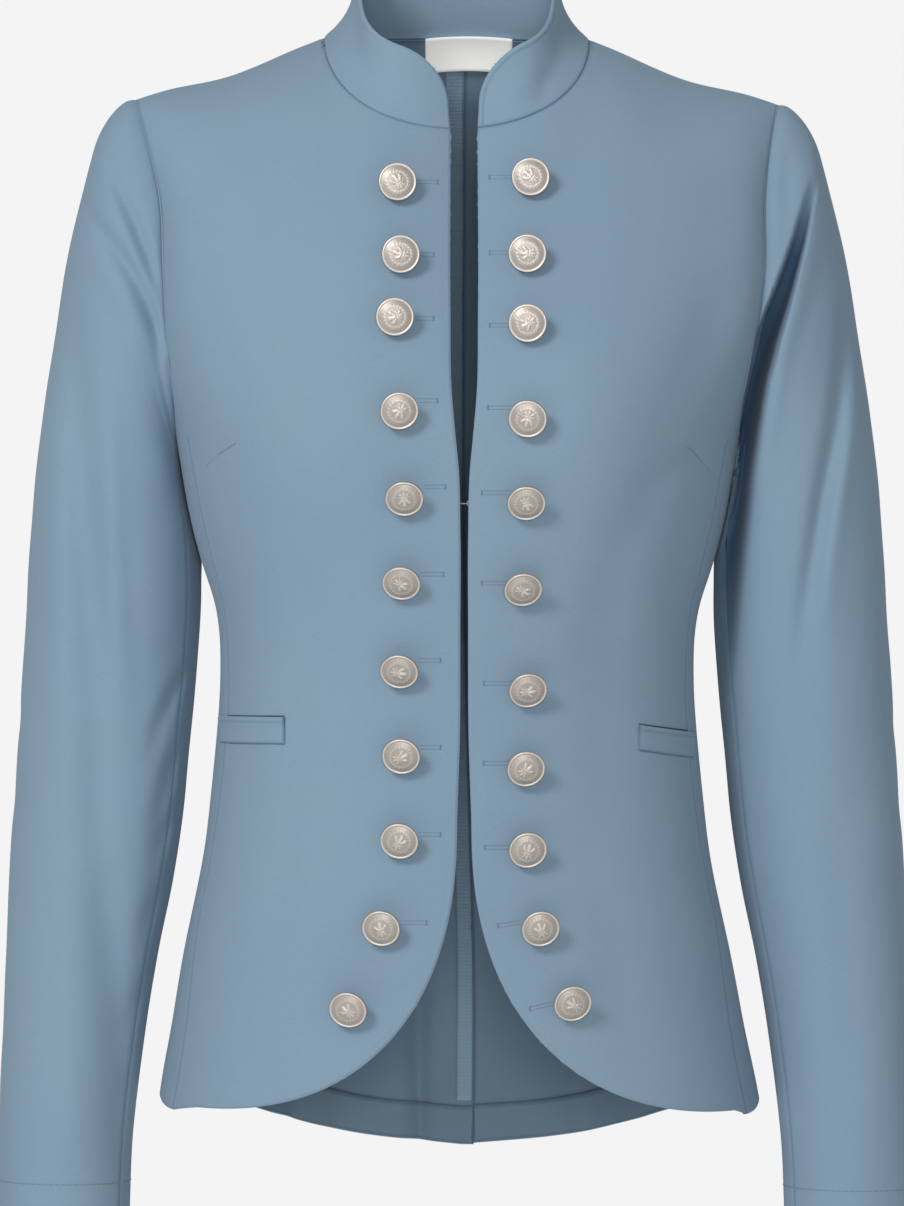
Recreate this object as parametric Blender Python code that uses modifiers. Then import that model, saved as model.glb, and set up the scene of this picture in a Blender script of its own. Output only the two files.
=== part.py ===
"""Stand-collar blazer in blue-grey jersey, filled out as when it is worn.

Metres, +Z up. The front faces -Y and the wearer's left arm is on +X. The origin lies between
the shoulders, level with the sides of the neck, where the wearer holds the garment up.
Every cloth piece is one wall of even thickness, cut along its own seams.
Tables are in millimetres and degrees, a row for each section.
"""
import math
from collections import namedtuple

import bmesh
import bpy
import numpy as np
from mathutils import Matrix, Vector

MM = 0.001
WALL = 1.6 * MM
SEAM_GAP = 0.3 * MM  # between two walls where they come nearest
SEAM_OPEN = 0.7 * MM  # between their outer faces, because walls turn in round a curve
SAMPLES = 60  # points along a curve before it is set out again over the cloth
QUARTER = math.pi / 2

# ---------------------------------------------------------------- torso form
# Level rings from the armpit down to the hem, each a full ellipse.
Ring = namedtuple("Ring", "height half_width front back")
RINGS = [
    Ring(-665, 183, 127, 133),
    Ring(-590, 169, 125, 127),
    Ring(-530, 158, 123, 116),
    Ring(-470, 146, 120, 101),
    Ring(-425, 141, 118, 90),
    Ring(-375, 137, 118, 84),
    Ring(-335, 139, 122, 88),
    Ring(-300, 148, 126, 95),
    Ring(-270, 155, 128, 101),
    Ring(-235, 161, 128, 104),
]
RING_FULLNESS = 2.35
ARMPIT = -235 * MM

# The shoulder line, from the middle of the neck out to the tip.
ShoulderPoint = namedtuple("ShoulderPoint", "out height")
SHOULDER = [
    ShoulderPoint(0, 22),
    ShoulderPoint(22, 21),
    ShoulderPoint(46, 14.5),
    ShoulderPoint(76, -0.5),
    ShoulderPoint(93, -7.5),
    ShoulderPoint(131, -24),
    ShoulderPoint(170, -33),
    ShoulderPoint(186, -38),
]
SHOULDER_Y = 6 * MM
SHOULDER_OPEN = 1.5 * MM  # the fronts and backs part by this at the shoulder seam
SHOULDER_TIP = 186 * MM
CLIMB = 200 * MM  # length of the height scale from the armpit to the shoulder line

# How far a column has moved out to its shoulder point, by its share of the climb.
Widening = namedtuple("Widening", "climbed share")
WIDENING = [
    Widening(0.0, 0.0),
    Widening(0.25, 0.37),
    Widening(0.5, 0.52),
    Widening(0.7, 0.59),
    Widening(0.85, 0.77),
    Widening(1.0, 1.0),
]
CHEST_SLOPE = 1.3  # fullness of the arc from bust to shoulder: 1 is straight, 2 is round
NAPE_SLOPE = 2.8
SIDE_SLOPE = 2.1

# Swellings of the front and back: where, how far they reach, how high they stand.
Swelling = namedtuple("Swelling", "out height reach_x reach_z rise")
BUST = Swelling(80, -228, 46, 54, 9)
SHOULDER_BLADE = Swelling(62, -128, 55, 60, 7)

# ---------------------------------------------------------------- cut of the body
# Seams between front, side panel and back, as the angle round the body from the centre front.
SeamPoint = namedtuple("SeamPoint", "height angle")
FRONT_SEAM = [
    SeamPoint(-625, 66.5),
    SeamPoint(-590, 65.5),
    SeamPoint(-500, 70),
    SeamPoint(-397, 69.5),
    SeamPoint(-333, 72.5),
    SeamPoint(-280, 70),
    SeamPoint(-180, 70),
]
BACK_SEAM = [
    SeamPoint(-650, 118),
    SeamPoint(-500, 116),
    SeamPoint(-375, 113),
    SeamPoint(-235, 118),
    SeamPoint(-160, 118),
]
FRONT_ARM_ANGLE = math.radians(70)
BACK_ARM_ANGLE = math.radians(118)
UNDERARM_ANGLE = math.radians(93)
FRONT_ARM_SEAM_Z = -187 * MM  # where the front seam leaves the armhole
BACK_ARM_SEAM_Z = -170 * MM
UNDERARM_Z = -240 * MM
UNDERARM_CURVE = 0.85  # 1 is round, less is squarer

HemPoint = namedtuple("HemPoint", "angle height")
HEM = [
    HemPoint(50, -619),
    HemPoint(66, -620),
    HemPoint(90, -615),
    HemPoint(118, -620),
    HemPoint(134, -626),
    HemPoint(146, -636),
    HemPoint(160, -646),
    HemPoint(180, -653),
]

# Half the opening between the two centre-front edges, from the neck down to the cutaway.
EdgePoint = namedtuple("EdgePoint", "height gap")
FRONT_EDGE = [
    EdgePoint(-452, 4.0),
    EdgePoint(-400, 2.4),
    EdgePoint(-350, 2.2),
    EdgePoint(-290, 2.2),
    EdgePoint(-253, 3.2),
    EdgePoint(-234, 5.0),
    EdgePoint(-208, 7.0),
    EdgePoint(-165, 7.6),
    EdgePoint(-59, 7.5),
]
OPENING_SHIFT = 4.0 * MM  # the opening lies this far towards +X
HANG_TILT = 0.008  # the whole garment hangs this much lower on +X
HEM_SWAY = 2.0 * MM  # and its hem swings this far towards +X
SWAY_TOP = -480 * MM
SWAY_REACH = 160 * MM
NECK_CORNER_Z = -59 * MM
CUTAWAY_TOP = -452 * MM
CUTAWAY_WIDTH = 150 * MM
CUTAWAY_DROP = 165 * MM
CUTAWAY_FULLNESS = 2.36

# The centre-back seam wanders a little towards +X.
CentrePoint = namedtuple("CentrePoint", "height shift")
BACK_CENTRE = [
    CentrePoint(-653, 7),
    CentrePoint(-540, 10),
    CentrePoint(-430, 8),
    CentrePoint(-270, 4),
    CentrePoint(-150, 4),
    CentrePoint(4, 6),
]

NECK_HALF = 77 * MM
NECK_SIDE_Z = -0.5 * MM
NECK_DROP = 57 * MM
NECK_FULLNESS = 2.15
NAPE_RISE = 6 * MM

FRONT_COLUMNS = (5, 7)  # neckline, shoulder seam
FRONT_ROWS = (4, 21)  # cutaway above its middle, straight edge
SIDE_COLUMNS = 6
SIDE_ROWS = 19
BACK_COLUMNS = (6, 5)  # shoulder seam, neckline
BACK_ROWS = 27
ROW_CLOSING = 1.25  # rows stand closer towards the shoulder, where the cloth bends most

# ---------------------------------------------------------------- collar
COLLAR_HEIGHT = 44 * MM
COLLAR_CORNER = 30 * MM
COLLAR_LEAN_FRONT = 6 * MM
COLLAR_LEAN_SIDE = 18 * MM
COLLAR_CURVE = 3.0  # how soon the collar turns upright above its seam
COLLAR_UPRIGHT = 0.97  # height gained for each step up the leaning collar
COLLAR_STEP_UP = 1.3 * MM
COLLAR_STEP_IN = 0.4 * MM
COLLAR_SPAN = 16 * MM  # length of neckline that gives the collar its outward direction
COLLAR_COLUMNS = 32
COLLAR_ROWS = 5

# ---------------------------------------------------------------- sleeves
# Sections that fan out from the armhole and end level at the cuff:
# the outer and inner point of each, its middle from front to back and its half depth.
SleeveSection = namedtuple("SleeveSection", "outer_x outer_z inner_x inner_z middle_y half_depth")
SLEEVE = [
    SleeveSection(186, -38, 161, -240, 4, 50),
    SleeveSection(193, -40, 161, -246, 4, 51),
    SleeveSection(201, -48, 160, -252, 5, 52),
    SleeveSection(208, -60, 159, -258, 5, 53),
    SleeveSection(213, -75, 158, -264, 6, 54),
    SleeveSection(219, -99, 156.5, -272, 7, 55),
    SleeveSection(226, -130, 154.5, -281, 8, 56),
    SleeveSection(232, -165, 152.5, -290, 9, 56),
    SleeveSection(238.5, -205, 150.5, -300, 10, 56),
    SleeveSection(244.2, -250, 149.5, -315, 11, 56),
    SleeveSection(248.5, -300, 149.2, -335, 12, 55),
    SleeveSection(251.5, -350, 151, -365, 13, 54),
    SleeveSection(254.5, -400, 154.5, -400, 13, 53),
    SleeveSection(257.5, -445, 158.5, -445, 11, 51),
    SleeveSection(260, -490, 165, -490, 7, 49),
    SleeveSection(261.5, -535, 173.5, -535, 1, 46.5),
    SleeveSection(263, -580, 181, -580, -6, 44),
    SleeveSection(264.8, -635, 187, -635, -13, 42),
    SleeveSection(266.5, -688, 189.2, -688, -19, 41),
]
ARMHOLE_FADE = 4.0  # sections over which the armhole's own outline fades into an oval
SLEEVE_SEAM_FRONT = 150.0  # degrees round the sleeve from its outer point, front way
SLEEVE_SEAM_BACK = 240.0
SLEEVE_OPEN = 0.9 * MM
SLEEVE_RADIUS = 45 * MM
FOLD_CLEAR = 28.0  # degrees beside the front seam over which the folds fade in
FOLD_START = 2.0  # sections below the armhole over which they fade in
FOLD_TURN = 2.5  # how soon they fade in from the outer and inner edge of the sleeve
ARMHOLE_STEP = 0.6 * MM
UPPER_COLUMNS = ((-120, 8), (30, 4), (75, 10), (150, 0))  # where each stretch starts, its columns
UNDER_COLUMNS = 5
SLEEVE_ROWS = 22

# Troughs across the sleeves, as seen from the front: where each runs, how deep and how wide.
Fold = namedtuple("Fold", "side x0 z0 x1 z1 depth0 depth1 reach")
SLEEVE_FOLDS = [
    Fold(-1, 203, -84, 168, -170, 1.0, 4.0, 9),
    Fold(-1, 216, -108, 168, -190, 1.0, 4.0, 10),
    Fold(-1, 222, -172, 212, -390, 1.5, 3.0, 15),
    Fold(1, 205, -90, 183, -150, 1.0, 10.0, 8),
    Fold(1, 183, -150, 173, -208, 10.0, 8.0, 9),
    Fold(1, 173, -208, 169, -262, 8.0, 0.5, 8),
    Fold(1, 224, -150, 209, -265, 1.0, 5.0, 12),
    Fold(1, 209, -265, 195, -375, 5.0, 1.0, 12),
]

# ---------------------------------------------------------------- trims
Welt = namedtuple("Welt", "side inner_x outer_x inner_z outer_z height")
WELTS = [
    Welt(-1, 98, 130, -402, -403, 15),
    Welt(1, 103, 132, -404, -408, 15),
]
WELT_COLUMNS = 6
WELT_ROWS = 2
LABEL_SIZE = (50 * MM, 20 * MM)
LABEL_SHIFT = 7 * MM
LABEL_TOP = 2 * MM
LABEL_WALL = 1.0 * MM
LABEL_COLUMNS = 8
LABEL_ROWS = 3

# Middle of each button's face, as seen from the front, counted from the neck.
ButtonRow = namedtuple("ButtonRow", "row right_x right_z left_x left_z")
BUTTON_ROWS = [
    ButtonRow(1, -34.5, -91, 42, -87.5),
    ButtonRow(2, -32.5, -133, 40, -132),
    ButtonRow(3, -35.5, -169, 40, -172),
    ButtonRow(4, -33, -222.5, 40, -226.5),
    ButtonRow(5, -29.5, -272, 38.5, -274),
    ButtonRow(6, -30.5, -319.5, 36, -322.5),
    ButtonRow(7, -31.5, -369, 38.5, -379),
    ButtonRow(8, -30.5, -416.5, 37.5, -423),
    ButtonRow(9, -31.5, -464, 38.5, -468.5),
    ButtonRow(10, -41.5, -513, 45.5, -512.5),
    ButtonRow(11, -59.5, -559, 63, -554.5),
]
BUTTON_DROOP = math.radians(25)
BUTTON_STEPS = 12
BUTTON_CLEAR = 1.3 * MM  # the drooping shank's foot stands off the cloth by this
# Outline of a button from the middle of its face round to the end of its shank.
ProfilePoint = namedtuple("ProfilePoint", "radius height")
BUTTON_PROFILE = [
    ProfilePoint(0, 10.9),
    ProfilePoint(5.2, 10.3),
    ProfilePoint(9.0, 8.7),
    ProfilePoint(10.2, 8.9),
    ProfilePoint(10.85, 7.6),
    ProfilePoint(9.6, 6.2),
    ProfilePoint(2.6, 5.4),
    ProfilePoint(2.2, 0),
    ProfilePoint(0, 0),
]

# Bent wires inside the opening at the waist: out, back and up from the fastening's middle.
WirePoint = namedtuple("WirePoint", "x y z")
HOOK = [WirePoint(-9, 0, 0), WirePoint(2, 0.4, 0), WirePoint(4, 0.2, 0), WirePoint(4.4, -0.6, 0)]
EYE = [
    WirePoint(9, -0.4, 1.7),
    WirePoint(3, -0.4, 1.7),
    WirePoint(1.9, -0.4, 0.8),
    WirePoint(1.9, -0.4, -0.8),
    WirePoint(3, -0.4, -1.7),
    WirePoint(9, -0.4, -1.7),
]
FASTENING_X = 4 * MM
FASTENING_Z = -273 * MM
FASTENING_INSIDE = 1.8 * MM  # from the inner face of the fronts
WIRE_RADIUS = 0.35 * MM

CLOTH_COLOUR = (0.215, 0.318, 0.418, 1.0)
METAL_COLOUR = (0.62, 0.56, 0.49, 1.0)
LABEL_COLOUR = (0.80, 0.79, 0.76, 1.0)


# ---------------------------------------------------------------- curves
def smooth(keys, values, flat_end=False):
    """A cubic curve through a table's values; its keys rise from row to row."""
    keys = np.asarray(keys, float)
    values = np.asarray(values, float)
    slopes = np.gradient(values, keys)
    if flat_end:
        slopes[-1] = 0.0

    def at(key):
        key = np.asarray(key, float)
        i = np.clip(np.searchsorted(keys, key) - 1, 0, len(keys) - 2)
        span = keys[i + 1] - keys[i]
        t = np.clip((key - keys[i]) / span, 0.0, 1.0)
        rise = t * t * (3 - 2 * t)
        lead = t * (1 - t) ** 2
        trail = t * t * (t - 1)
        return (values[i] * (1 - rise) + values[i + 1] * rise
                + span * (lead * slopes[i] + trail * slopes[i + 1]))

    return at


def column(table, name, scale=MM):
    return np.array([getattr(row, name) for row in table], float) * scale


def superellipse(angle, fullness):
    """Sine and cosine of a quarter turn, pushed out to a fuller curve."""
    s = np.abs(np.sin(angle))
    c = np.abs(np.cos(angle))
    radius = (s**fullness + c**fullness) ** (-1.0 / fullness)
    return radius * np.sin(angle), radius * np.cos(angle)


ring_heights = column(RINGS, "height")
half_width_at = smooth(ring_heights, column(RINGS, "half_width"))
front_depth_at = smooth(ring_heights, column(RINGS, "front"), flat_end=True)
back_depth_at = smooth(ring_heights, column(RINGS, "back"), flat_end=True)
shoulder_height_at = smooth(column(SHOULDER, "out"), column(SHOULDER, "height"))
widening_at = smooth(column(WIDENING, "climbed", 1), column(WIDENING, "share", 1))
front_seam_at = smooth(column(FRONT_SEAM, "height"), np.radians(column(FRONT_SEAM, "angle", 1)))
back_seam_at = smooth(column(BACK_SEAM, "height"), np.radians(column(BACK_SEAM, "angle", 1)))
centre_shift_at = smooth(column(BACK_CENTRE, "height"), column(BACK_CENTRE, "shift"))
hem_at = smooth(np.radians(column(HEM, "angle", 1)), column(HEM, "height"))
edge_gap_at = smooth(column(FRONT_EDGE, "height"), column(FRONT_EDGE, "gap"))


# ---------------------------------------------------------------- torso form
def arc_fullness(angle):
    side = np.abs(np.sin(angle))
    middle = np.where(np.cos(angle) > 0, CHEST_SLOPE, NAPE_SLOPE)
    return middle + (SIDE_SLOPE - middle) * side


def shoulder_end(angle):
    """Where the column at this angle meets the shoulder line: out and height."""
    across, _ = superellipse(angle, RING_FULLNESS)
    edge = np.where(np.cos(angle) > 0, FRONT_ARM_ANGLE, BACK_ARM_ANGLE)
    edge_across, _ = superellipse(edge, RING_FULLNESS)
    out = SHOULDER_TIP * np.minimum(across / edge_across, 1.0)
    return out, shoulder_height_at(np.abs(out))


def swell(shape, x, z):
    dx = (np.abs(x) - shape.out * MM) / (shape.reach_x * MM)
    dz = (z - shape.height * MM) / (shape.reach_z * MM)
    return shape.rise * MM * np.exp(-dx * dx - dz * dz)


def torso(angle, level):
    """Outer face of the body on +X. The level is a height up to the armpit and then a
    share of the climb to the shoulder line."""
    angle = np.asarray(angle, float)
    level = np.asarray(level, float)
    across, ahead = superellipse(angle, RING_FULLNESS)
    below = np.minimum(level, ARMPIT)
    depth = np.where(ahead > 0, front_depth_at(below), back_depth_at(below))
    x = half_width_at(below) * across
    y = -depth * ahead
    climb = np.clip((level - ARMPIT) / CLIMB, 0.0, 1.0) * QUARTER
    up, out = superellipse(climb, arc_fullness(angle))
    shoulder_x, shoulder_z = shoulder_end(angle)
    x = x + (shoulder_x - x) * widening_at(up)
    y = SHOULDER_Y + (y - SHOULDER_Y) * out
    z = below + (shoulder_z - ARMPIT) * up
    y = y + np.where(ahead > 0, -swell(BUST, x, z), swell(SHOULDER_BLADE, x, z))
    return np.stack([x, y, z], axis=-1)


def level_at(angle, z):
    """The level at which a column reaches a height."""
    fullness = arc_fullness(angle)
    _, top = shoulder_end(angle)
    up = np.clip((z - ARMPIT) / (top - ARMPIT), 0.0, 1.0)
    out = (1.0 - up**fullness) ** (1.0 / fullness)
    climb = ARMPIT + CLIMB * np.arctan2(up, out) / QUARTER
    return np.where(z <= ARMPIT, z, climb)


def locate(x, z, back=False):
    """Angle and level of the point of the front or back that is seen at x and z."""
    x = np.atleast_1d(np.asarray(x, float))
    z = np.broadcast_to(np.asarray(z, float), x.shape)
    sign = np.where(x < 0, -1.0, 1.0)
    x = np.abs(x)
    inner = np.full(x.shape, math.pi if back else 0.0)
    outer = np.full(x.shape, QUARTER)
    for _ in range(40):
        middle = (inner + outer) / 2
        beyond = torso(middle, level_at(middle, z))[..., 0] > x
        outer = np.where(beyond, middle, outer)
        inner = np.where(beyond, inner, middle)
    level = level_at(middle, z)
    if back:
        middle = math.pi - middle
    middle = middle * sign
    return np.stack([math.pi - middle if back else middle, level], axis=-1)


# ---------------------------------------------------------------- edges of the panels
def spread(path, count, closing=1.0):
    """The path's points set out again over the cloth, evenly or closing up towards the end."""
    points = torso(path[:, 0], path[:, 1])
    steps = np.linalg.norm(np.diff(points, axis=0), axis=1)
    length = np.concatenate([[0.0], np.cumsum(steps)])
    wanted = length[-1] * (1.0 - np.linspace(1.0, 0.0, count + 1) ** closing)
    return np.stack([np.interp(wanted, length, path[:, k]) for k in (0, 1)], axis=-1)


def join(*paths):
    return np.concatenate([paths[0]] + [path[1:] for path in paths[1:]])


def fill(bottom, top, left, right):
    """A net of angles and levels between four edges that meet at their ends."""
    u = np.linspace(0.0, 1.0, len(bottom))[:, None, None]
    v = np.linspace(0.0, 1.0, len(left))[None, :, None]
    between = (1 - v) * bottom[:, None] + v * top[:, None]
    between = between + (1 - u) * left[None] + u * right[None]
    corners = (1 - u) * (1 - v) * bottom[0] + u * (1 - v) * bottom[-1]
    corners = corners + (1 - u) * v * top[0] + u * v * top[-1]
    return between - corners


def seam_path(seam_at, bottom, top, shift):
    levels = np.linspace(bottom, top, SAMPLES)
    return np.stack([seam_at(levels) + shift, levels], axis=-1)


def armhole_angle(turn):
    """Angle round the body of the armhole's lower edge, at a turn from its top."""
    front = turn <= math.pi
    seam_z = np.where(front, FRONT_ARM_SEAM_Z, BACK_ARM_SEAM_Z)
    edge = np.where(front, FRONT_ARM_ANGLE, BACK_ARM_ANGLE)
    middle, reach = armhole_span()
    seam_turn = np.arccos((seam_z - middle) / reach)
    share = np.clip(np.abs(np.sin(turn)) / np.sin(seam_turn), 0.0, 1.0) ** UNDERARM_CURVE
    low = middle + reach * np.cos(turn) < seam_z
    return np.where(low, UNDERARM_ANGLE + (edge - UNDERARM_ANGLE) * share, edge)


def armhole_span():
    """Middle height and half height of the armhole."""
    tip = float(shoulder_height_at(SHOULDER_TIP))
    return (tip + UNDERARM_Z) / 2, (tip - UNDERARM_Z) / 2


def armhole_path(turn):
    """Angle and level round the armhole, at turns from the shoulder tip by the front."""
    middle, reach = armhole_span()
    angle = armhole_angle(turn)
    return np.stack([angle, level_at(angle, middle + reach * np.cos(turn))], axis=-1)


def armhole_turn(z, back=False):
    middle, reach = armhole_span()
    turn = math.acos((z - middle) / reach)
    return 2 * math.pi - turn if back else turn


# ---------------------------------------------------------------- panels of the body
BODY_RADIUS = 140 * MM  # how far a turn of one radian goes round at the side seams
HALF_GAP_ANGLE = SEAM_OPEN / 2 / BODY_RADIUS
CENTRE_RADIUS = 165 * MM  # how far a turn of one radian goes round at the centre back


def cutaway(turn, shift):
    """Points x and z along the rounded front corner; turn 0 is its upper end."""
    down, back = superellipse(turn, CUTAWAY_FULLNESS)
    start = float(edge_gap_at(CUTAWAY_TOP)) + shift
    return start + CUTAWAY_WIDTH * (1 - back), CUTAWAY_TOP - CUTAWAY_DROP * down


def front_neckline(start_x):
    """Points x and z from the centre-front edge up to the side of the neck."""
    turn = np.linspace(0.0, QUARTER, 4 * SAMPLES)
    across, down = superellipse(turn, NECK_FULLNESS)
    x = NECK_HALF * across
    z = NECK_SIDE_Z - NECK_DROP * down
    kept = x > start_x
    return np.concatenate([[start_x], x[kept]]), np.concatenate([[z[~kept][-1]], z[kept]])


def back_neckline(side):
    """Points x and z from the side of the neck to the centre-back seam."""
    nape_x = side * centre_shift_at(0.0) + SEAM_OPEN / 2
    last = math.acos(nape_x / NECK_HALF)
    turn = np.linspace(0.0, last, SAMPLES)
    return NECK_HALF * np.cos(turn), NECK_SIDE_Z + NAPE_RISE * np.sin(turn) ** 2


def front_net(side):
    shift = side * OPENING_SHIFT
    middle = QUARTER / 2
    lower_x, lower_z = cutaway(np.linspace(middle, QUARTER, SAMPLES), shift)
    lower = locate(lower_x, lower_z)
    seam_angle = float(front_seam_at(HEM[1].height * MM)) - HALF_GAP_ANGLE
    corner = np.array([[seam_angle, float(hem_at(seam_angle))]])
    hem = spread(np.concatenate([lower, corner]), sum(FRONT_COLUMNS))

    upper_x, upper_z = cutaway(np.linspace(middle, 0.0, SAMPLES), shift)
    edge_z = np.linspace(CUTAWAY_TOP, NECK_CORNER_Z, SAMPLES)
    edge = locate(edge_gap_at(edge_z) + shift, edge_z)
    front = join(spread(locate(upper_x, upper_z), FRONT_ROWS[0]),
                 spread(edge, FRONT_ROWS[1], ROW_CLOSING))

    neck_x, neck_z = front_neckline(float(edge_gap_at(NECK_CORNER_Z)) + shift)
    neck = locate(neck_x, neck_z)
    neck[0] = front[-1]
    neck[-1, 1] = ARMPIT + CLIMB
    arm_angle = FRONT_ARM_ANGLE - HALF_GAP_ANGLE
    ridge = np.linspace(neck[-1, 0], arm_angle, SAMPLES)
    shoulder = np.stack([ridge, np.full(SAMPLES, ARMPIT + CLIMB)], axis=-1)
    top = join(spread(neck, FRONT_COLUMNS[0]), spread(shoulder, FRONT_COLUMNS[1]))

    seam = seam_path(front_seam_at, corner[0, 1], ARMPIT, -HALF_GAP_ANGLE)
    climb = np.linspace(ARMPIT, ARMPIT + CLIMB, SAMPLES)
    armhole = np.stack([np.full(SAMPLES, arm_angle), climb], axis=-1)
    outer = spread(join(seam, armhole), sum(FRONT_ROWS), ROW_CLOSING)
    return fill(hem, top, front, outer)


def side_net():
    front_turn = armhole_turn(FRONT_ARM_SEAM_Z)
    back_turn = armhole_turn(BACK_ARM_SEAM_Z, back=True)
    top = armhole_path(np.linspace(front_turn, back_turn, SAMPLES))
    top[0, 0] += HALF_GAP_ANGLE
    top[-1, 0] -= HALF_GAP_ANGLE
    first = float(front_seam_at(HEM[1].height * MM)) + HALF_GAP_ANGLE
    last = float(back_seam_at(HEM[3].height * MM)) - HALF_GAP_ANGLE
    angles = np.linspace(first, last, SAMPLES)
    hem = np.stack([angles, hem_at(angles)], axis=-1)
    front = seam_path(front_seam_at, hem[0, 1], top[0, 1], HALF_GAP_ANGLE)
    back = seam_path(back_seam_at, hem[-1, 1], top[-1, 1], -HALF_GAP_ANGLE)
    return fill(spread(hem, SIDE_COLUMNS), spread(top, SIDE_COLUMNS),
                spread(front, SIDE_ROWS), spread(back, SIDE_ROWS))


def centre_angle(level, side):
    """Angle of the centre-back seam's edge on one side."""
    shift = side * centre_shift_at(level) + SEAM_OPEN / 2
    return math.pi - shift / CENTRE_RADIUS


def back_net(side):
    first = float(back_seam_at(HEM[3].height * MM)) + HALF_GAP_ANGLE
    last = centre_angle(HEM[-1].height * MM, side)
    angles = np.linspace(first, last, SAMPLES)
    hem = np.stack([angles, hem_at(np.minimum(angles, math.pi))], axis=-1)

    neck_x, neck_z = back_neckline(side)
    neck = locate(neck_x, neck_z, back=True)
    neck[0, 1] = ARMPIT + CLIMB
    arm_angle = BACK_ARM_ANGLE + HALF_GAP_ANGLE
    ridge = np.linspace(arm_angle, neck[0, 0], SAMPLES)
    shoulder = np.stack([ridge, np.full(SAMPLES, ARMPIT + CLIMB)], axis=-1)
    top = join(spread(shoulder, BACK_COLUMNS[0]), spread(neck, BACK_COLUMNS[1]))

    seam = seam_path(back_seam_at, hem[0, 1], ARMPIT, HALF_GAP_ANGLE)
    climb = np.linspace(ARMPIT, ARMPIT + CLIMB, SAMPLES)
    armhole = np.stack([np.full(SAMPLES, arm_angle), climb], axis=-1)
    outer = spread(join(seam, armhole), BACK_ROWS, ROW_CLOSING)
    levels = np.linspace(hem[-1, 1], neck[-1, 1], SAMPLES)
    centre = np.stack([centre_angle(levels, side), levels], axis=-1)
    centre[-1] = neck[-1]
    centre = spread(centre, BACK_ROWS, ROW_CLOSING)
    return fill(spread(hem, sum(BACK_COLUMNS)), top, outer, centre)


# ---------------------------------------------------------------- sleeve form
section_keys = np.arange(len(SLEEVE), dtype=float)
sleeve_curves = {name: smooth(section_keys, column(SLEEVE, name)) for name in SleeveSection._fields}


def sleeve_point(turn, section):
    """Outer face of the +X sleeve: turn from its outer point by the front, and section."""
    outer_x, outer_z, inner_x, inner_z, middle_y, half_depth = (
        sleeve_curves[name](section) for name in SleeveSection._fields)
    out = np.cos(turn)
    ahead = np.sin(turn)
    x = (outer_x + inner_x) / 2 + (outer_x - inner_x) / 2 * out
    z = (outer_z + inner_z) / 2 + (outer_z - inner_z) / 2 * out
    y = middle_y - half_depth * ahead
    oval = np.stack([x, y, z], axis=-1)
    path = armhole_path(np.mod(turn, 2 * math.pi))
    first = SLEEVE[0]
    start_x = (first.outer_x + first.inner_x) / 2 + (first.outer_x - first.inner_x) / 2 * out
    start_z = (first.outer_z + first.inner_z) / 2 + (first.outer_z - first.inner_z) / 2 * out
    start_y = first.middle_y - first.half_depth * ahead
    start = np.stack([start_x, start_y, start_z], axis=-1) * MM
    hole = torso(path[..., 0], path[..., 1]) + np.array([ARMHOLE_STEP, 0.0, 0.0])
    fade = np.clip(1.0 - section / ARMHOLE_FADE, 0.0, 1.0) ** 1.5
    return oval + (hole - start) * fade[..., None]


def fold_depth(side, x, z):
    """How far the sleeve's front face is pressed in at a place seen from the front."""
    depth = np.zeros_like(x)
    for fold in SLEEVE_FOLDS:
        if fold.side != side:
            continue
        start = np.array([fold.x0, fold.z0]) * MM
        run = np.array([fold.x1, fold.z1]) * MM - start
        away = np.stack([x, z], axis=-1) - start
        along = np.clip((away @ run) / (run @ run), 0.0, 1.0)
        gap = np.linalg.norm(away - along[..., None] * run, axis=-1) / (fold.reach * MM)
        here = (fold.depth0 + (fold.depth1 - fold.depth0) * along) * MM * np.exp(-gap * gap)
        depth = np.maximum(depth, here)
    return depth


def sleeve_face(side, turn, section):
    """The sleeve with its folds, seen on +X."""
    points = sleeve_point(turn, section)
    step = 0.01
    along_turn = sleeve_point(turn + step, section) - sleeve_point(turn - step, section)
    last = len(SLEEVE) - 1
    along_arm = (sleeve_point(turn, np.minimum(section + step, last))
                 - sleeve_point(turn, np.maximum(section - step, 0.0)))
    normal = np.cross(along_turn, along_arm)
    normal /= np.maximum(np.linalg.norm(normal, axis=-1, keepdims=True), 1e-12)
    front = np.clip(np.sin(turn) * FOLD_TURN, 0.0, 1.0)
    clear = np.clip(section / FOLD_START, 0.0, 1.0)
    beside = np.clip((SLEEVE_SEAM_FRONT - np.degrees(turn)) / FOLD_CLEAR, 0.0, 1.0)
    fade = front * clear * beside * beside * (3 - 2 * beside)
    depth = fold_depth(side, points[..., 0], points[..., 2]) * fade
    return points - normal * depth[..., None]


# ---------------------------------------------------------------- objects
def clear_scene():
    for item in list(bpy.data.objects):
        bpy.data.objects.remove(item, do_unlink=True)


def material(name, colour, roughness, metallic=0.0):
    made = bpy.data.materials.new(name)
    made.use_nodes = True
    shader = made.node_tree.nodes["Principled BSDF"]
    shader.inputs["Base Color"].default_value = colour
    shader.inputs["Roughness"].default_value = roughness
    shader.inputs["Metallic"].default_value = metallic
    return made


def add_object(name, mesh, finish, collection):
    mesh.name = name
    mesh.shade_smooth()
    thing = bpy.data.objects.new(name, mesh)
    if not mesh.materials:
        mesh.materials.append(finish)
    collection.objects.link(thing)
    return thing


def hang(x, y, z):
    """The garment's slight tilt on the wearer."""
    return Vector((x, y, z - HANG_TILT * x))


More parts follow.
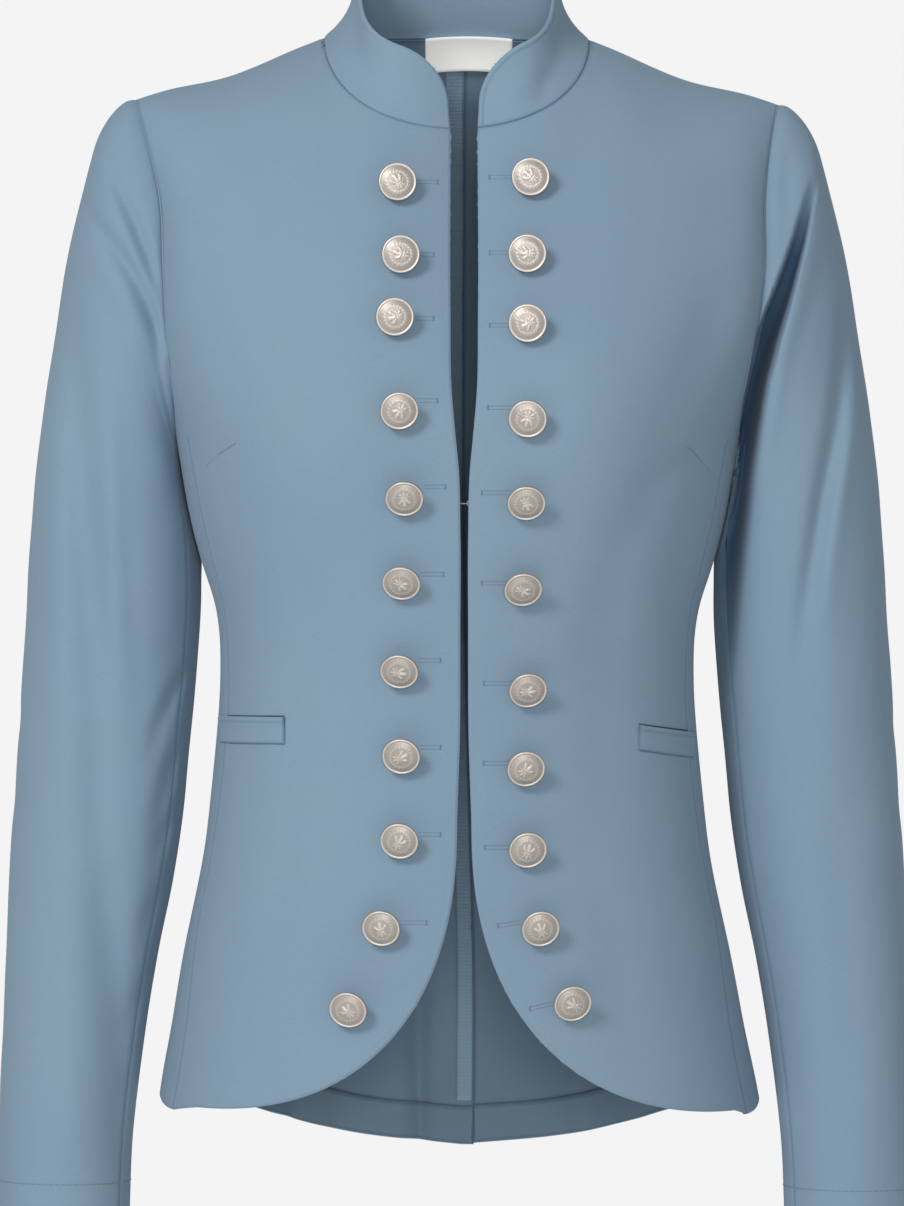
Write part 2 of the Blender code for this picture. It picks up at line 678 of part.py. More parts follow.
def cloth_panel(name, points, mirrored, finish, collection, wall=WALL):
    """A grid laid on the given net of points, as a wall whose outer face is the net."""
    columns, rows = points.shape[0] - 1, points.shape[1] - 1
    grid = bmesh.new()
    bmesh.ops.create_grid(grid, x_segments=columns, y_segments=rows, size=1.0)
    for vert in grid.verts:
        i = round((vert.co.x + 1) / 2 * columns)
        j = round((vert.co.y + 1) / 2 * rows)
        x, y, z = points[i, j]
        vert.co = hang(-x if mirrored else x, y, z)
    if mirrored:
        bmesh.ops.reverse_faces(grid, faces=grid.faces)
    grid.normal_update()
    mesh = bpy.data.meshes.new(name)
    grid.to_mesh(mesh)
    grid.free()
    thing = add_object(name, mesh, finish, collection)
    solid = thing.modifiers.new("wall", "SOLIDIFY")
    solid.thickness = wall
    solid.offset = -1.0
    return thing


def body_face(place, side, parting=0.0):
    """Outer face of the body as worn, moved back by a parting at the shoulder seam."""
    points = torso(place[..., 0], place[..., 1])
    points[..., 1] += parting
    low = np.clip((SWAY_TOP - points[..., 2]) / SWAY_REACH, 0.0, 1.0)
    points[..., 0] += side * HEM_SWAY * low * low
    return points


def build_body(finish, collection):
    for side, hand in ((1, "left"), (-1, "right")):
        front = body_face(front_net(side), side, -SHOULDER_OPEN / 2)
        middle = body_face(side_net(), side)
        back = body_face(back_net(side), side, SHOULDER_OPEN / 2)
        for name, points in (("front", front), ("side_panel", middle), ("back", back)):
            cloth_panel(f"{name}_{hand}", points, side < 0, finish, collection)


def upper_turns():
    """Turns of the upper sleeve's columns, closest where the folds are."""
    turns = [[math.radians(SLEEVE_SEAM_BACK - 360)]]
    for (start, count), (end, _) in zip(UPPER_COLUMNS, UPPER_COLUMNS[1:]):
        turns.append(np.radians(np.linspace(start, end, count + 1)[1:]))
    return np.concatenate(turns)


def build_sleeves(finish, collection):
    last = len(SLEEVE) - 1
    sections = np.linspace(0.0, 1.0, SLEEVE_ROWS + 1) * last
    half_gap = SLEEVE_OPEN / 2 / SLEEVE_RADIUS
    front_seam = math.radians(SLEEVE_SEAM_FRONT)
    back_seam = math.radians(SLEEVE_SEAM_BACK)
    for side, hand in ((1, "left"), (-1, "right")):
        upper = upper_turns()
        upper[0] += half_gap
        upper[-1] -= half_gap
        under = np.linspace(front_seam + half_gap, back_seam - half_gap, UNDER_COLUMNS + 1)
        for name, turns in (("upper_sleeve", upper), ("under_sleeve", under)):
            turn, section = np.meshgrid(turns, sections, indexing="ij")
            cloth_panel(f"{name}_{hand}", sleeve_face(side, turn, section), side < 0,
                        finish, collection)


def neck_ring(side):
    """Points of the neckline from a front corner round to the nape, on +X."""
    x, z = front_neckline(float(edge_gap_at(NECK_CORNER_Z)) + side * OPENING_SHIFT)
    front = locate(x, z)
    back = locate(*back_neckline(side), back=True)
    path = join(front, back)
    return torso(path[:, 0], path[:, 1])


def build_collar(finish, collection):
    left = neck_ring(1)
    right = neck_ring(-1) * np.array([-1.0, 1.0, 1.0])
    ring = np.concatenate([left, right[::-1][1:]])
    steps = np.linalg.norm(np.diff(ring, axis=0), axis=1)
    length = np.concatenate([[0.0], np.cumsum(steps)])
    total = length[-1]
    corner = COLLAR_CORNER
    straight = COLLAR_HEIGHT - corner

    def end_edge(turns):
        along = corner * (1 - np.cos(turns))
        return np.stack([along, straight + corner * np.sin(turns)], axis=-1)

    def even(path, count):
        walked = np.concatenate([[0.0], np.cumsum(np.linalg.norm(np.diff(path, axis=0), axis=1))])
        wanted = np.linspace(0.0, walked[-1], count + 1)
        return np.stack([np.interp(wanted, walked, path[:, k]) for k in (0, 1)], axis=-1)

    middle = QUARTER / 2
    low_end = end_edge(np.linspace(0.0, middle, SAMPLES))
    start = even(np.concatenate([[[0.0, 0.0]], low_end]), COLLAR_ROWS)
    over = end_edge(np.linspace(middle, QUARTER, SAMPLES))
    mirror = np.array([-1.0, 1.0])
    offset = np.array([total, 0.0])
    top = even(np.concatenate([over, over[::-1] * mirror + offset]), COLLAR_COLUMNS)
    bottom = even(np.array([[0.0, 0.0], [total, 0.0]]), COLLAR_COLUMNS)
    strip = fill(bottom, top, start, start * mirror + offset)

    along = strip[..., 0]
    share = strip[..., 1] / COLLAR_HEIGHT
    base = np.stack([np.interp(along, length, ring[:, k]) for k in range(3)], axis=-1)
    reach = COLLAR_SPAN / 2
    before = np.stack([np.interp(along - reach, length, ring[:, k]) for k in range(3)], axis=-1)
    after = np.stack([np.interp(along + reach, length, ring[:, k]) for k in range(3)], axis=-1)
    run = after - before
    out = np.stack([run[..., 1], -run[..., 0], np.zeros_like(along)], axis=-1)
    out /= np.linalg.norm(out, axis=-1, keepdims=True)
    lean = COLLAR_LEAN_FRONT + (COLLAR_LEAN_SIDE - COLLAR_LEAN_FRONT) * out[..., 0] ** 2
    inward = COLLAR_STEP_IN + lean * (1 - (1 - np.clip(share, 0, 1)) ** COLLAR_CURVE)
    rise = strip[..., 1] * COLLAR_UPRIGHT + COLLAR_STEP_UP
    points = base - out * inward[..., None]
    points[..., 2] += rise
    cloth_panel("collar", points, False, finish, collection)


def outward(angle, level):
    """Outward direction of the torso on +X."""
    step = 1e-3
    round_body = torso(angle + step, level) - torso(angle - step, level)
    up_body = torso(angle, level + step) - torso(angle, level - step)
    normal = np.cross(round_body, up_body)
    return normal / np.linalg.norm(normal, axis=-1, keepdims=True)


def build_welts(finish, collection):
    for welt in WELTS:
        u = np.linspace(0.0, 1.0, WELT_COLUMNS + 1)[:, None]
        v = np.linspace(-0.5, 0.5, WELT_ROWS + 1)[None, :]
        x = (welt.inner_x + (welt.outer_x - welt.inner_x) * u + 0 * v) * MM
        z = (welt.inner_z + (welt.outer_z - welt.inner_z) * u + welt.height * v) * MM
        place = locate(x.ravel(), z.ravel())
        points = body_face(place, welt.side, -SHOULDER_OPEN / 2)
        points += outward(place[:, 0], place[:, 1]) * (WALL + 2 * SEAM_GAP)
        points = points.reshape(WELT_COLUMNS + 1, WELT_ROWS + 1, 3)
        hand = "left" if welt.side > 0 else "right"
        cloth_panel(f"pocket_welt_{hand}", points, welt.side < 0, finish, collection)


def build_label(finish, collection):
    width, height = LABEL_SIZE
    u = np.linspace(-0.5, 0.5, LABEL_COLUMNS + 1)[:, None]
    v = np.linspace(0.0, 1.0, LABEL_ROWS + 1)[None, :]
    x = (LABEL_SHIFT + width * u + 0 * v).ravel()
    z = (LABEL_TOP - height * (1 - v) + 0 * u).ravel()
    place = locate(np.abs(x), z, back=True)
    points = body_face(place, 1, SHOULDER_OPEN / 2)
    points -= outward(place[:, 0], place[:, 1]) * (WALL + LABEL_WALL + 2 * SEAM_GAP)
    points[:, 0] = x
    points = points.reshape(LABEL_COLUMNS + 1, LABEL_ROWS + 1, 3)[::-1]
    cloth_panel("neck_label", points, False, finish, collection, LABEL_WALL)


def build_buttons(finish, collection):
    outline = bmesh.new()
    verts = [outline.verts.new((p.radius * MM, 0.0, p.height * MM)) for p in BUTTON_PROFILE]
    for first, second in zip(verts, verts[1:]):
        outline.edges.new((first, second))
    mesh = bpy.data.meshes.new("button")
    outline.to_mesh(mesh)
    outline.free()
    mesh.materials.append(finish)
    for row in BUTTON_ROWS:
        for hand, x, z in (("right", row.right_x, row.right_z), ("left", row.left_x, row.left_z)):
            thing = bpy.data.objects.new(f"button_{hand}_{row.row:02d}", mesh)
            collection.objects.link(thing)
            turned = thing.modifiers.new("turn", "SCREW")
            turned.steps = BUTTON_STEPS
            turned.render_steps = BUTTON_STEPS
            turned.use_merge_vertices = True
            turned.merge_threshold = 0.00005
            thing.matrix_world = button_place(x * MM, z * MM)


def button_place(x, z):
    """Where a button's shank is sewn, and the way that its drooping face looks."""
    reach = max(p.height for p in BUTTON_PROFILE) * MM
    side = math.copysign(1.0, x)
    sewn_z = z
    for _ in range(3):
        place = locate(abs(x), sewn_z)
        normal = Vector(outward(place[:, 0], place[:, 1])[0])
        normal.x *= side
        down = Vector((0, 0, -1))
        down = (down - normal * down.dot(normal)).normalized()
        face = normal * math.cos(BUTTON_DROOP) + down * math.sin(BUTTON_DROOP)
        sewn_z = z - reach * face.z
    point = Vector(torso(place[:, 0], place[:, 1])[0])
    point.x *= side
    point.y -= SHOULDER_OPEN / 2
    point = hang(*point)
    turn = face.to_track_quat("Z", "Y").to_matrix().to_4x4()
    return Matrix.Translation(point + normal * BUTTON_CLEAR) @ turn


def build_fastening(finish, collection):
    place = locate(FASTENING_X, FASTENING_Z)
    middle_y = torso(place[:, 0], place[:, 1])[0, 1] - SHOULDER_OPEN / 2 + WALL + FASTENING_INSIDE
    for name, wire in (("waist_hook", HOOK), ("waist_eye", EYE)):
        curve = bpy.data.curves.new(name, "CURVE")
        curve.dimensions = "3D"
        curve.bevel_depth = WIRE_RADIUS
        curve.bevel_resolution = 2
        curve.use_fill_caps = True
        spline = curve.splines.new("POLY")
        spline.points.add(len(wire) - 1)
        for point, step in zip(spline.points, wire):
            spot = hang(FASTENING_X + step.x * MM, middle_y + step.y * MM, FASTENING_Z + step.z * MM)
            point.co = (*spot, 1.0)
        curve.materials.append(finish)
        thing = bpy.data.objects.new(name, curve)
        collection.objects.link(thing)


def main():
    clear_scene()
    collection = bpy.data.collections.new("stand_collar_blazer")
    bpy.context.scene.collection.children.link(collection)
    jersey = material("blue-grey jersey", CLOTH_COLOUR, 0.85)
    metal = material("champagne metal", METAL_COLOUR, 0.35, 1.0)
    satin = material("off-white satin", LABEL_COLOUR, 0.6)
    build_body(jersey, collection)
    build_sleeves(jersey, collection)
    build_collar(jersey, collection)
    build_welts(jersey, collection)
    build_label(satin, collection)
    build_buttons(metal, collection)
    build_fastening(metal, collection)


main()
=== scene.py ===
"""Stand-collar blazer in blue-grey jersey: its cloth, sewing and buttons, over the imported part.

Metres, +Z up. The front faces -Y and the wearer's left arm is on +X.
Tables are in millimetres and degrees, a row for each section.
"""
import math
from collections import namedtuple

import bmesh
import bpy
import numpy as np
from mathutils import Matrix, Vector, kdtree
from mathutils.bvhtree import BVHTree


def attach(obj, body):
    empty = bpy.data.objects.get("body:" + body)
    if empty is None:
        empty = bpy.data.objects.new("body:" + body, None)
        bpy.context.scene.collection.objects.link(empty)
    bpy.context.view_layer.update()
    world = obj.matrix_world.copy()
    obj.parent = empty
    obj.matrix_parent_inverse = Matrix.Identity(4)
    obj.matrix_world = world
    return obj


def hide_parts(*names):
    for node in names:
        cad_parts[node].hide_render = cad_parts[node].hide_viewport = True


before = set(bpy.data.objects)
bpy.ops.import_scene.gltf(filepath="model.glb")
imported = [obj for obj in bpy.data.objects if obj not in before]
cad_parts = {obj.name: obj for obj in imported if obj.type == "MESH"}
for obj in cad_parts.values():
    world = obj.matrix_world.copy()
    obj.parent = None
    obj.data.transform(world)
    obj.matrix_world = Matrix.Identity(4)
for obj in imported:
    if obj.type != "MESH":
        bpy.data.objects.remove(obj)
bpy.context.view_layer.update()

MM = 0.001
QUARTER = math.pi / 2
HANDS = {"left": 1, "right": -1}


def table(columns, rows):
    """A table's rows, with its columns named."""
    row = namedtuple("Row", columns)
    return [row(*values) for values in rows]


WALL = 1.6 * MM
SEAM_OPEN = 0.1 * MM  # between two panels that are sewn together
TURN_OUT = 0.35 * MM  # a sewn edge turns in under its neighbour by this
TURN_IN = 0.45 * MM
SAMPLES = 60
NET_STEP = 3.0 * MM  # between the threads of a net laid on the cloth
SLEEVE_STEP = 2.6 * MM
EDGE_LINES = (0.0, 0.45, 1.0, 1.7, 2.4, 3.1, 4.2, 6.0)  # closer threads beside an edge

# ---------------------------------------------------------------- torso form
RINGS = table("height half_width front back", [
    (-665, 183, 127, 133), (-590, 169, 125, 127), (-530, 158, 123, 116), (-470, 146, 120, 101),
    (-425, 141, 118, 90), (-375, 137, 118, 84), (-335, 139, 122, 88), (-300, 148, 126, 95),
    (-270, 155, 128, 101), (-235, 161, 128, 104),
])
RING_FULLNESS = 2.35
ARMPIT = -235 * MM

SHOULDER = table("out height", [
    (0, 22), (22, 21), (46, 14.5), (76, -0.5), (93, -7.5), (131, -24), (170, -33), (186, -38),
])
SHOULDER_Y = 6 * MM
SHOULDER_OPEN = 0.2 * MM
SHOULDER_TIP = 186 * MM
CLIMB = 200 * MM

WIDENING = table("climbed share", [
    (0.0, 0.0), (0.25, 0.37), (0.5, 0.52), (0.7, 0.59), (0.85, 0.77), (1.0, 1.0),
])
CHEST_SLOPE = 1.3
NAPE_SLOPE = 2.8
SIDE_SLOPE = 2.1

BUST, SHOULDER_BLADE = table("out height reach_x reach_z rise", [
    (80, -228, 46, 54, 9), (62, -128, 55, 60, 7),
])

# ---------------------------------------------------------------- cut of the body
FRONT_SEAM = table("height angle", [
    (-625, 66.5), (-590, 65.5), (-500, 70), (-397, 68), (-333, 69.5), (-280, 68.5), (-180, 70),
])
BACK_SEAM = table("height angle", [
    (-650, 118), (-500, 116), (-375, 113), (-235, 118), (-160, 118),
])
FRONT_ARM_ANGLE = math.radians(70)
BACK_ARM_ANGLE = math.radians(118)
UNDERARM_ANGLE = math.radians(93)
FRONT_ARM_SEAM_Z = -187 * MM
BACK_ARM_SEAM_Z = -170 * MM
UNDERARM_Z = -240 * MM
UNDERARM_CURVE = 0.85

HEM = table("angle height", [
    (50, -619), (66, -620), (90, -615), (118, -620), (134, -626), (146, -636), (160, -646),
    (180, -653),
])

FRONT_EDGE = table("height gap", [
    (-452, 4.0), (-400, 2.4), (-350, 2.2), (-290, 2.2), (-253, 3.2), (-234, 5.0), (-208, 7.0),
    (-165, 7.6), (-59, 7.5),
])
OPENING_SHIFT = 4.0 * MM
HANG_TILT = 0.008
HEM_SWAY = 2.0 * MM
SWAY_TOP = -480 * MM
SWAY_REACH = 160 * MM
NECK_CORNER_Z = -59 * MM
CUTAWAY_TOP = -452 * MM
CUTAWAY_WIDTH = 150 * MM
CUTAWAY_DROP = 165 * MM
CUTAWAY_FULLNESS = 2.36

BACK_CENTRE = table("height shift", [
    (-653, 7), (-540, 10), (-430, 8), (-270, 4), (-150, 4), (4, 6),
])

NECK_HALF = 77 * MM
NECK_SIDE_Z = -0.5 * MM
NECK_DROP = 57 * MM
NECK_FULLNESS = 2.15
NAPE_RISE = 4 * MM
BODY_RADIUS = 140 * MM
HALF_GAP_ANGLE = SEAM_OPEN / 2 / BODY_RADIUS
CENTRE_RADIUS = 165 * MM

# ---------------------------------------------------------------- collar
COLLAR_HEIGHT = 44 * MM
COLLAR_CORNER = 30 * MM
COLLAR_LEAN_FRONT = 6 * MM
COLLAR_LEAN_SIDE = 18 * MM
COLLAR_CURVE = 3.0
COLLAR_UPRIGHT = 0.97
COLLAR_STEP_UP = 0.2 * MM
COLLAR_STEP_IN = 0.1 * MM
COLLAR_SPAN = 16 * MM
COLLAR_NET_STEP = 2.2 * MM
COLLAR_ROW_STEP = 1.8 * MM
COLLAR_SHADE_FADE = 30 * MM  # the painted shade of its seam and pressed lines grows from the right to the left
COLLAR_PRESS_SHADE = 0.4

# ---------------------------------------------------------------- sleeves
SLEEVE = table("outer_x outer_z inner_x inner_z middle_y half_depth", [
    (186, -38, 161, -240, 4, 50), (193, -40, 161, -246, 4, 51), (201, -48, 160, -252, 5, 52),
    (208, -60, 159, -258, 5, 53), (213, -75, 158, -264, 6, 54), (219, -99, 156.5, -272, 7, 55),
    (226, -130, 154.5, -281, 8, 56), (232, -165, 152.5, -290, 9, 56),
    (238.5, -205, 150.5, -300, 10, 56), (244.2, -250, 149.5, -315, 11, 56),
    (248.5, -300, 149.2, -335, 12, 55), (251.5, -350, 151, -365, 13, 54),
    (254.5, -400, 154.5, -400, 13, 53), (257.5, -445, 158.5, -445, 11, 51),
    (260, -490, 165, -490, 7, 49), (261.5, -535, 173.5, -535, 1, 46.5),
    (263, -580, 181, -580, -6, 44), (264.8, -635, 187, -635, -13, 42),
    (266.5, -688, 189.2, -688, -19, 41),
])
ARMHOLE_FADE = 4.0
ARMHOLE_STEP = 0.2 * MM
SLEEVE_SEAM_FRONT = 150.0
SLEEVE_SEAM_BACK = 240.0
SLEEVE_OPEN = 0.15 * MM
SLEEVE_RADIUS = 45 * MM

# ---------------------------------------------------------------- pulls and folds of the worn cloth
# Where the front of each armhole is drawn along the body and forward.
ARMHOLE_PULLS = table("side out height reach_x reach_z shift forward", [
    (1, 170, -132, 20, 60, 5.0, 7.0), (-1, 170, -118, 20, 56, -2.6, 6.0),
])
PULL_FRONT = 22 * MM  # the pulls fade in over this much of the body's depth
# Where the rear of each sleeve's underside rests against the body.
(UNDERARM_REST,) = table("out reach_x depth reach_y height reach_z shift", [
    (156, 14, 28, 18, -272, 40, -4.5),
])
# Where the wearer's left sleeve is evened out, as its deep fold runs into the underarm.
(UNDERARM_EASING,) = table("out fade height reach_z rounds", [(162, 8, -275, 55, 24)])
ARMHOLE_HOLD = 11 * MM  # a sleeve's folds fade out over this, towards its armhole
FACING_GAIN = 1.8  # how soon a fold fades out where the cloth turns away from its view
DEEPEST = 20 * MM  # a fold this deep is painted with its full shade
VIEWS = {"front": (1, -1.0), "back": (1, 1.0), "side": (0, 1.0)}  # axis, and its way outwards

# A crease follows its places, across and up as seen from its side of the blazer, with its depth
# and reach at each. A negative depth stands up as a ridge. The wearer's side is 0 for both.
SOFT, SQUARE = 2, 6  # a crease's section: a soft trough, or a flat floor between steep sides
Place = namedtuple("Place", "out up depth reach")
Crease = namedtuple("Crease", "part side seen section places")
WORN_FOLDS = [
    # the collar's wavy fold on the wearer's left
    ("collar", 0, "front", SOFT, [
        [(64, -12, 0, 5), (57, -20, 1.0, 5), (51, -30, 1.5, 5), (47, -42, 0.8, 5), (42, -54, 0, 5)],
        [(46, -14, 0, 6), (41, -26, -0.8, 6), (33, -38, -0.8, 6), (28, -48, 0, 6)],
    ]),
    # the wearer's left sleeve: the deep fold down from the armhole, and softer ones beside it
    ("sleeve", 1, "front", SQUARE, [
        [(206, -84, 0, 2.5), (201, -100, 7, 3), (195.5, -119, 16, 4.2), (186.4, -144, 26, 5.8),
         (175.5, -173, 34, 7.4), (168.5, -198, 36, 8), (165, -223, 34, 8), (160, -250, 30, 9),
         (157, -280, 24, 9.5), (154, -310, 18, 9.5), (151.5, -345, 10, 9), (150, -385, 0, 8)],
    ]),
    ("sleeve", 1, "front", SOFT, [
        [(212, -92, 0, 5), (205, -118, -1.6, 6), (196, -150, -2.6, 7), (186, -180, -3.2, 7),
         (179, -215, -3.0, 7), (175, -250, -2.0, 8), (172, -300, 0, 8)],
        [(228, -140, 0, 5), (222.5, -185, 4.2, 5.5), (218, -225, 6.0, 6), (210.5, -265, 6.4, 6),
         (203.6, -310, 5.4, 6.5), (199, -344, 3.4, 7), (195, -395, 0, 9)],
        [(236, -170, 0, 6), (229, -215, -2.2, 6), (221, -262, -2.8, 6), (213, -312, -2.0, 7),
         (208, -350, 0, 8)],
        [(226, -420, 0, 12), (220, -470, 1.6, 13), (222, -540, 2.0, 13), (226, -620, 0.8, 12),
         (228, -660, 0, 12)],
        [(190, -58, 0, 4), (189.5, -72, 1.4, 4.5), (188, -90, 1.6, 5), (186, -108, 0, 5)],
    ]),
    # the wearer's right sleeve: pulls towards the underarm, long soft folds, and the inner edge
    ("sleeve", -1, "front", SOFT, [
        [(204, -74, 0, 3), (198.4, -85, 2.2, 3), (187, -110, 3.8, 3.5), (176, -140, 4.4, 4),
         (167.5, -163, 3.4, 4.5), (161, -185, 0, 5)],
        [(200, -98, 0, 4), (190, -118, -1.8, 4.5), (179, -145, -2.2, 5), (170, -168, -1.4, 5),
         (163, -188, 0, 5)],
        [(219, -96, 0, 3), (211.6, -107, 2.4, 3.5), (195.6, -128, 4.6, 4), (184.1, -147, 5.2, 4.5),
         (173.2, -170, 4.8, 5), (165.7, -184, 3.2, 5), (160, -200, 0, 6)],
        [(222, -118, 0, 5), (205, -138, -1.6, 6), (190, -162, -1.8, 6), (178, -190, 0, 7)],
        [(224, -150, 0, 8), (219, -205, 4.4, 9), (214, -281, 7.0, 10), (209, -350, 6.6, 11),
         (204, -420, 3.8, 12), (203, -480, 0, 13)],
        [(204, -190, 0, 6), (199, -230, -1.8, 7), (197, -290, -2.4, 7), (193, -350, -1.6, 8),
         (190, -400, 0, 8)],
        [(196, -260, 0, 9), (190, -320, 1.8, 10), (186, -390, 2.4, 11), (190, -470, 1.4, 12),
         (196, -540, 0, 12)],
        [(234, -250, 0, 7), (230, -330, -1.2, 8), (226, -420, -1.0, 8), (228, -500, 0, 9)],
        [(208, -395, 0, 10), (208.8, -430, 3.0, 11), (202, -500, 5.0, 12), (195, -573, 5.4, 11),
         (193, -640, 3.0, 10), (192, -668, 0, 10)],
        [(226, -470, 0, 9), (223, -540, -1.8, 10), (220, -620, -1.6, 10), (220, -668, 0, 10)],
        [(152, -362, 2.6, 3.5), (163, -380, 3.6, 4), (172, -402, 2.4, 5), (178, -428, 0, 6)],
        [(155, -402, 2.4, 3.5), (165, -424, 3.2, 4), (172, -452, 1.8, 5), (177, -480, 0, 6)],
        [(161, -446, 2.2, 3.5), (169, -464, 2.6, 4), (176, -486, 0, 5)],
        [(165, -486, 2.2, 3.5), (174, -504, 2.4, 4.5), (182, -530, 0, 6)],
        [(174, -540, 1.8, 4), (182, -556, 2.0, 4.5), (188, -580, 0, 6)],
    ]),
    # backs and outsides of the sleeves, which the photograph hides
    ("sleeve", 0, "back", SOFT, [
        [(178, -112, 0, 6), (184, -150, 4.56, 8), (193, -198, 4.18, 10), (203, -255, 0, 11)],
        [(190, -372, 0, 7), (206, -384, 3.8, 8), (224, -390, 3.8, 8), (240, -392, 0, 8)],
        [(200, -450, 0, 9), (206, -500, 3.42, 10), (216, -570, 2.66, 11), (222, -630, 0, 11)],
    ]),
    ("sleeve", 1, "back", SOFT, [
        [(182, -398, 0, 7), (200, -410, 4.94, 8), (220, -419, 3.42, 9), (238, -423, 0, 8)],
    ]),
    ("sleeve", -1, "back", SOFT, [
        [(184, -406, 0, 7), (206, -417, 4.18, 8), (226, -430, 2.66, 9), (241, -437, 0, 8)],
    ]),
    ("sleeve", 1, "side", SOFT, [
        [(26, -120, 0, 9), (34, -185, 1.8, 11), (24, -270, 2.0, 12), (10, -360, 0, 12)],
    ]),
    ("sleeve", -1, "side", SOFT, [
        [(14, -140, 0, 9), (26, -215, 2.0, 12), (30, -300, 1.4, 12), (18, -370, 0, 12)],
    ]),
    ("sleeve", 0, "side", SOFT, [
        [(-24, -372, 0, 10), (-6, -392, 0.8, 11), (16, -402, 0.9, 11), (38, -398, 0, 10)],
        [(-16, -430, 0, 11), (4, -446, 0.7, 12), (26, -440, 0, 11)],
    ]),
    # soft pulls from the armholes over the bust, at the darts and at the waist
    ("body", 1, "front", SOFT, [
        [(171, -112, 0, 10), (160, -138, 1.8, 12), (147, -166, 2.6, 14), (134, -204, 2.0, 16),
         (120, -240, 0, 17)],
        [(112, -250, 0, 14), (96, -292, 2.2, 15), (84, -350, 2.4, 17), (82, -420, 1.4, 18),
         (88, -480, 0, 18)],
        [(146, -254, 2.0, 4), (137.2, -246, 1.8, 4), (129, -239, 0, 4)],
        [(142, -262, 0, 8), (126, -252, 1.6, 9), (112, -262, 1.8, 11), (106, -300, 0, 12)],
        [(134, -386, 0.4, 7), (116, -383, 1.0, 8), (95, -378, 0, 8)],
        [(74, -452, 0, 12), (84, -500, 1.4, 14), (96, -560, 1.6, 15), (104, -610, 0.6, 15)],
    ]),
    ("body", -1, "front", SOFT, [
        [(166, -130, 0, 10), (150, -160, 1.2, 13), (134, -196, 1.2, 15), (120, -230, 0, 16)],
        [(121, -40, 0, 8), (119, -66, 0.9, 9), (115, -100, 0.7, 10), (110, -130, 0, 10)],
        [(104, -262, 0, 14), (90, -310, 1.2, 16), (82, -370, 1.2, 18), (84, -440, 0, 18)],
        [(145, -252, 1.6, 4), (134.8, -244, 1.4, 4), (124, -237.5, 0, 4)],
        [(96, -470, 0, 12), (104, -530, 1.2, 14), (116, -600, 0.8, 15)],
    ]),
    ("body", 0, "side", SOFT, [
        [(-30, -190, 0, 14), (-24, -240, -2.0, 15), (-20, -290, -2.2, 15), (-18, -350, 0, 15)],
    ]),
    ("body", 0, "front", SOFT, [
        [(136, -362, 0.6, 8), (120, -364, 1.2, 8), (98, -360, 0.6, 9), (80, -354, 0, 9)],
    ]),
    # the back: at the nape, from the armholes, in the small of the back and down the skirt
    ("body", 0, "back", SOFT, [
        [(0, -30, 1.71, 8), (42, -32, 1.52, 8), (74, -40, 0, 8)],
    ]),
    ("body", 1, "back", SOFT, [
        [(160, -140, 0, 10), (132, -176, 3.42, 13), (102, -214, 3.04, 15), (72, -244, 0, 15)],
        [(0, -352, 1.52, 8), (38, -355, 3.42, 9), (84, -364, 2.66, 9), (116, -378, 0, 9)],
        [(16, -386, 0, 8), (52, -390, 2.85, 9), (92, -400, 1.52, 9), (118, -408, 0, 9)],
        [(62, -460, 0, 12), (70, -540, 3.6, 12), (78, -652, 5.0, 12)],
        [(112, -520, 0, 10), (118, -640, -3.0, 11)],
    ]),
    ("body", -1, "back", SOFT, [
        [(158, -152, 0, 10), (136, -190, 3.04, 13), (112, -232, 2.28, 15), (88, -262, 0, 15)],
        [(0, -352, 1.52, 8), (30, -350, 2.66, 9), (72, -358, 3.42, 9), (112, -370, 0, 9)],
        [(8, -392, 0, 8), (44, -396, 2.28, 9), (98, -412, 2.28, 9), (122, -420, 0, 9)],
        [(18, -440, 0, 8), (22, -520, -4.0, 7), (23, -590, -7.0, 7), (22, -656, -8.0, 7)],
        [(106, -545, 0, 8), (103, -600, -4.6, 6), (99, -652, -6.5, 6)],
        [(86, -560, 0, 8), (82, -650, 3.0, 8)],
    ]),
]
CREASES = [Crease(part, side, seen, section, [Place(*place) for place in places])
           for part, side, seen, section, rows in WORN_FOLDS for places in rows]


# ---------------------------------------------------------------- curves
def smooth(keys, values, flat_end=False):
    """A cubic curve through a table's values; its keys rise from row to row."""
    keys = np.asarray(keys, float)
    values = np.asarray(values, float)
    slopes = np.gradient(values, keys)
    if flat_end:
        slopes[-1] = 0.0

    def at(key):
        key = np.asarray(key, float)
        i = np.clip(np.searchsorted(keys, key) - 1, 0, len(keys) - 2)
        span = keys[i + 1] - keys[i]
        t = np.clip((key - keys[i]) / span, 0.0, 1.0)
        rise = t * t * (3 - 2 * t)
        lead = t * (1 - t) ** 2
        trail = t * t * (t - 1)
        return (values[i] * (1 - rise) + values[i + 1] * rise
                + span * (lead * slopes[i] + trail * slopes[i + 1]))

    return at


def column(rows, name, scale=MM):
    return np.array([getattr(row, name) for row in rows], float) * scale


def superellipse(angle, fullness):
    """Sine and cosine of a quarter turn, pushed out to a fuller curve."""
    s = np.abs(np.sin(angle))
    c = np.abs(np.cos(angle))
    radius = (s**fullness + c**fullness) ** (-1.0 / fullness)
    return radius * np.sin(angle), radius * np.cos(angle)


def ease(x):
    x = np.clip(x, 0.0, 1.0)
    return x * x * (3 - 2 * x)


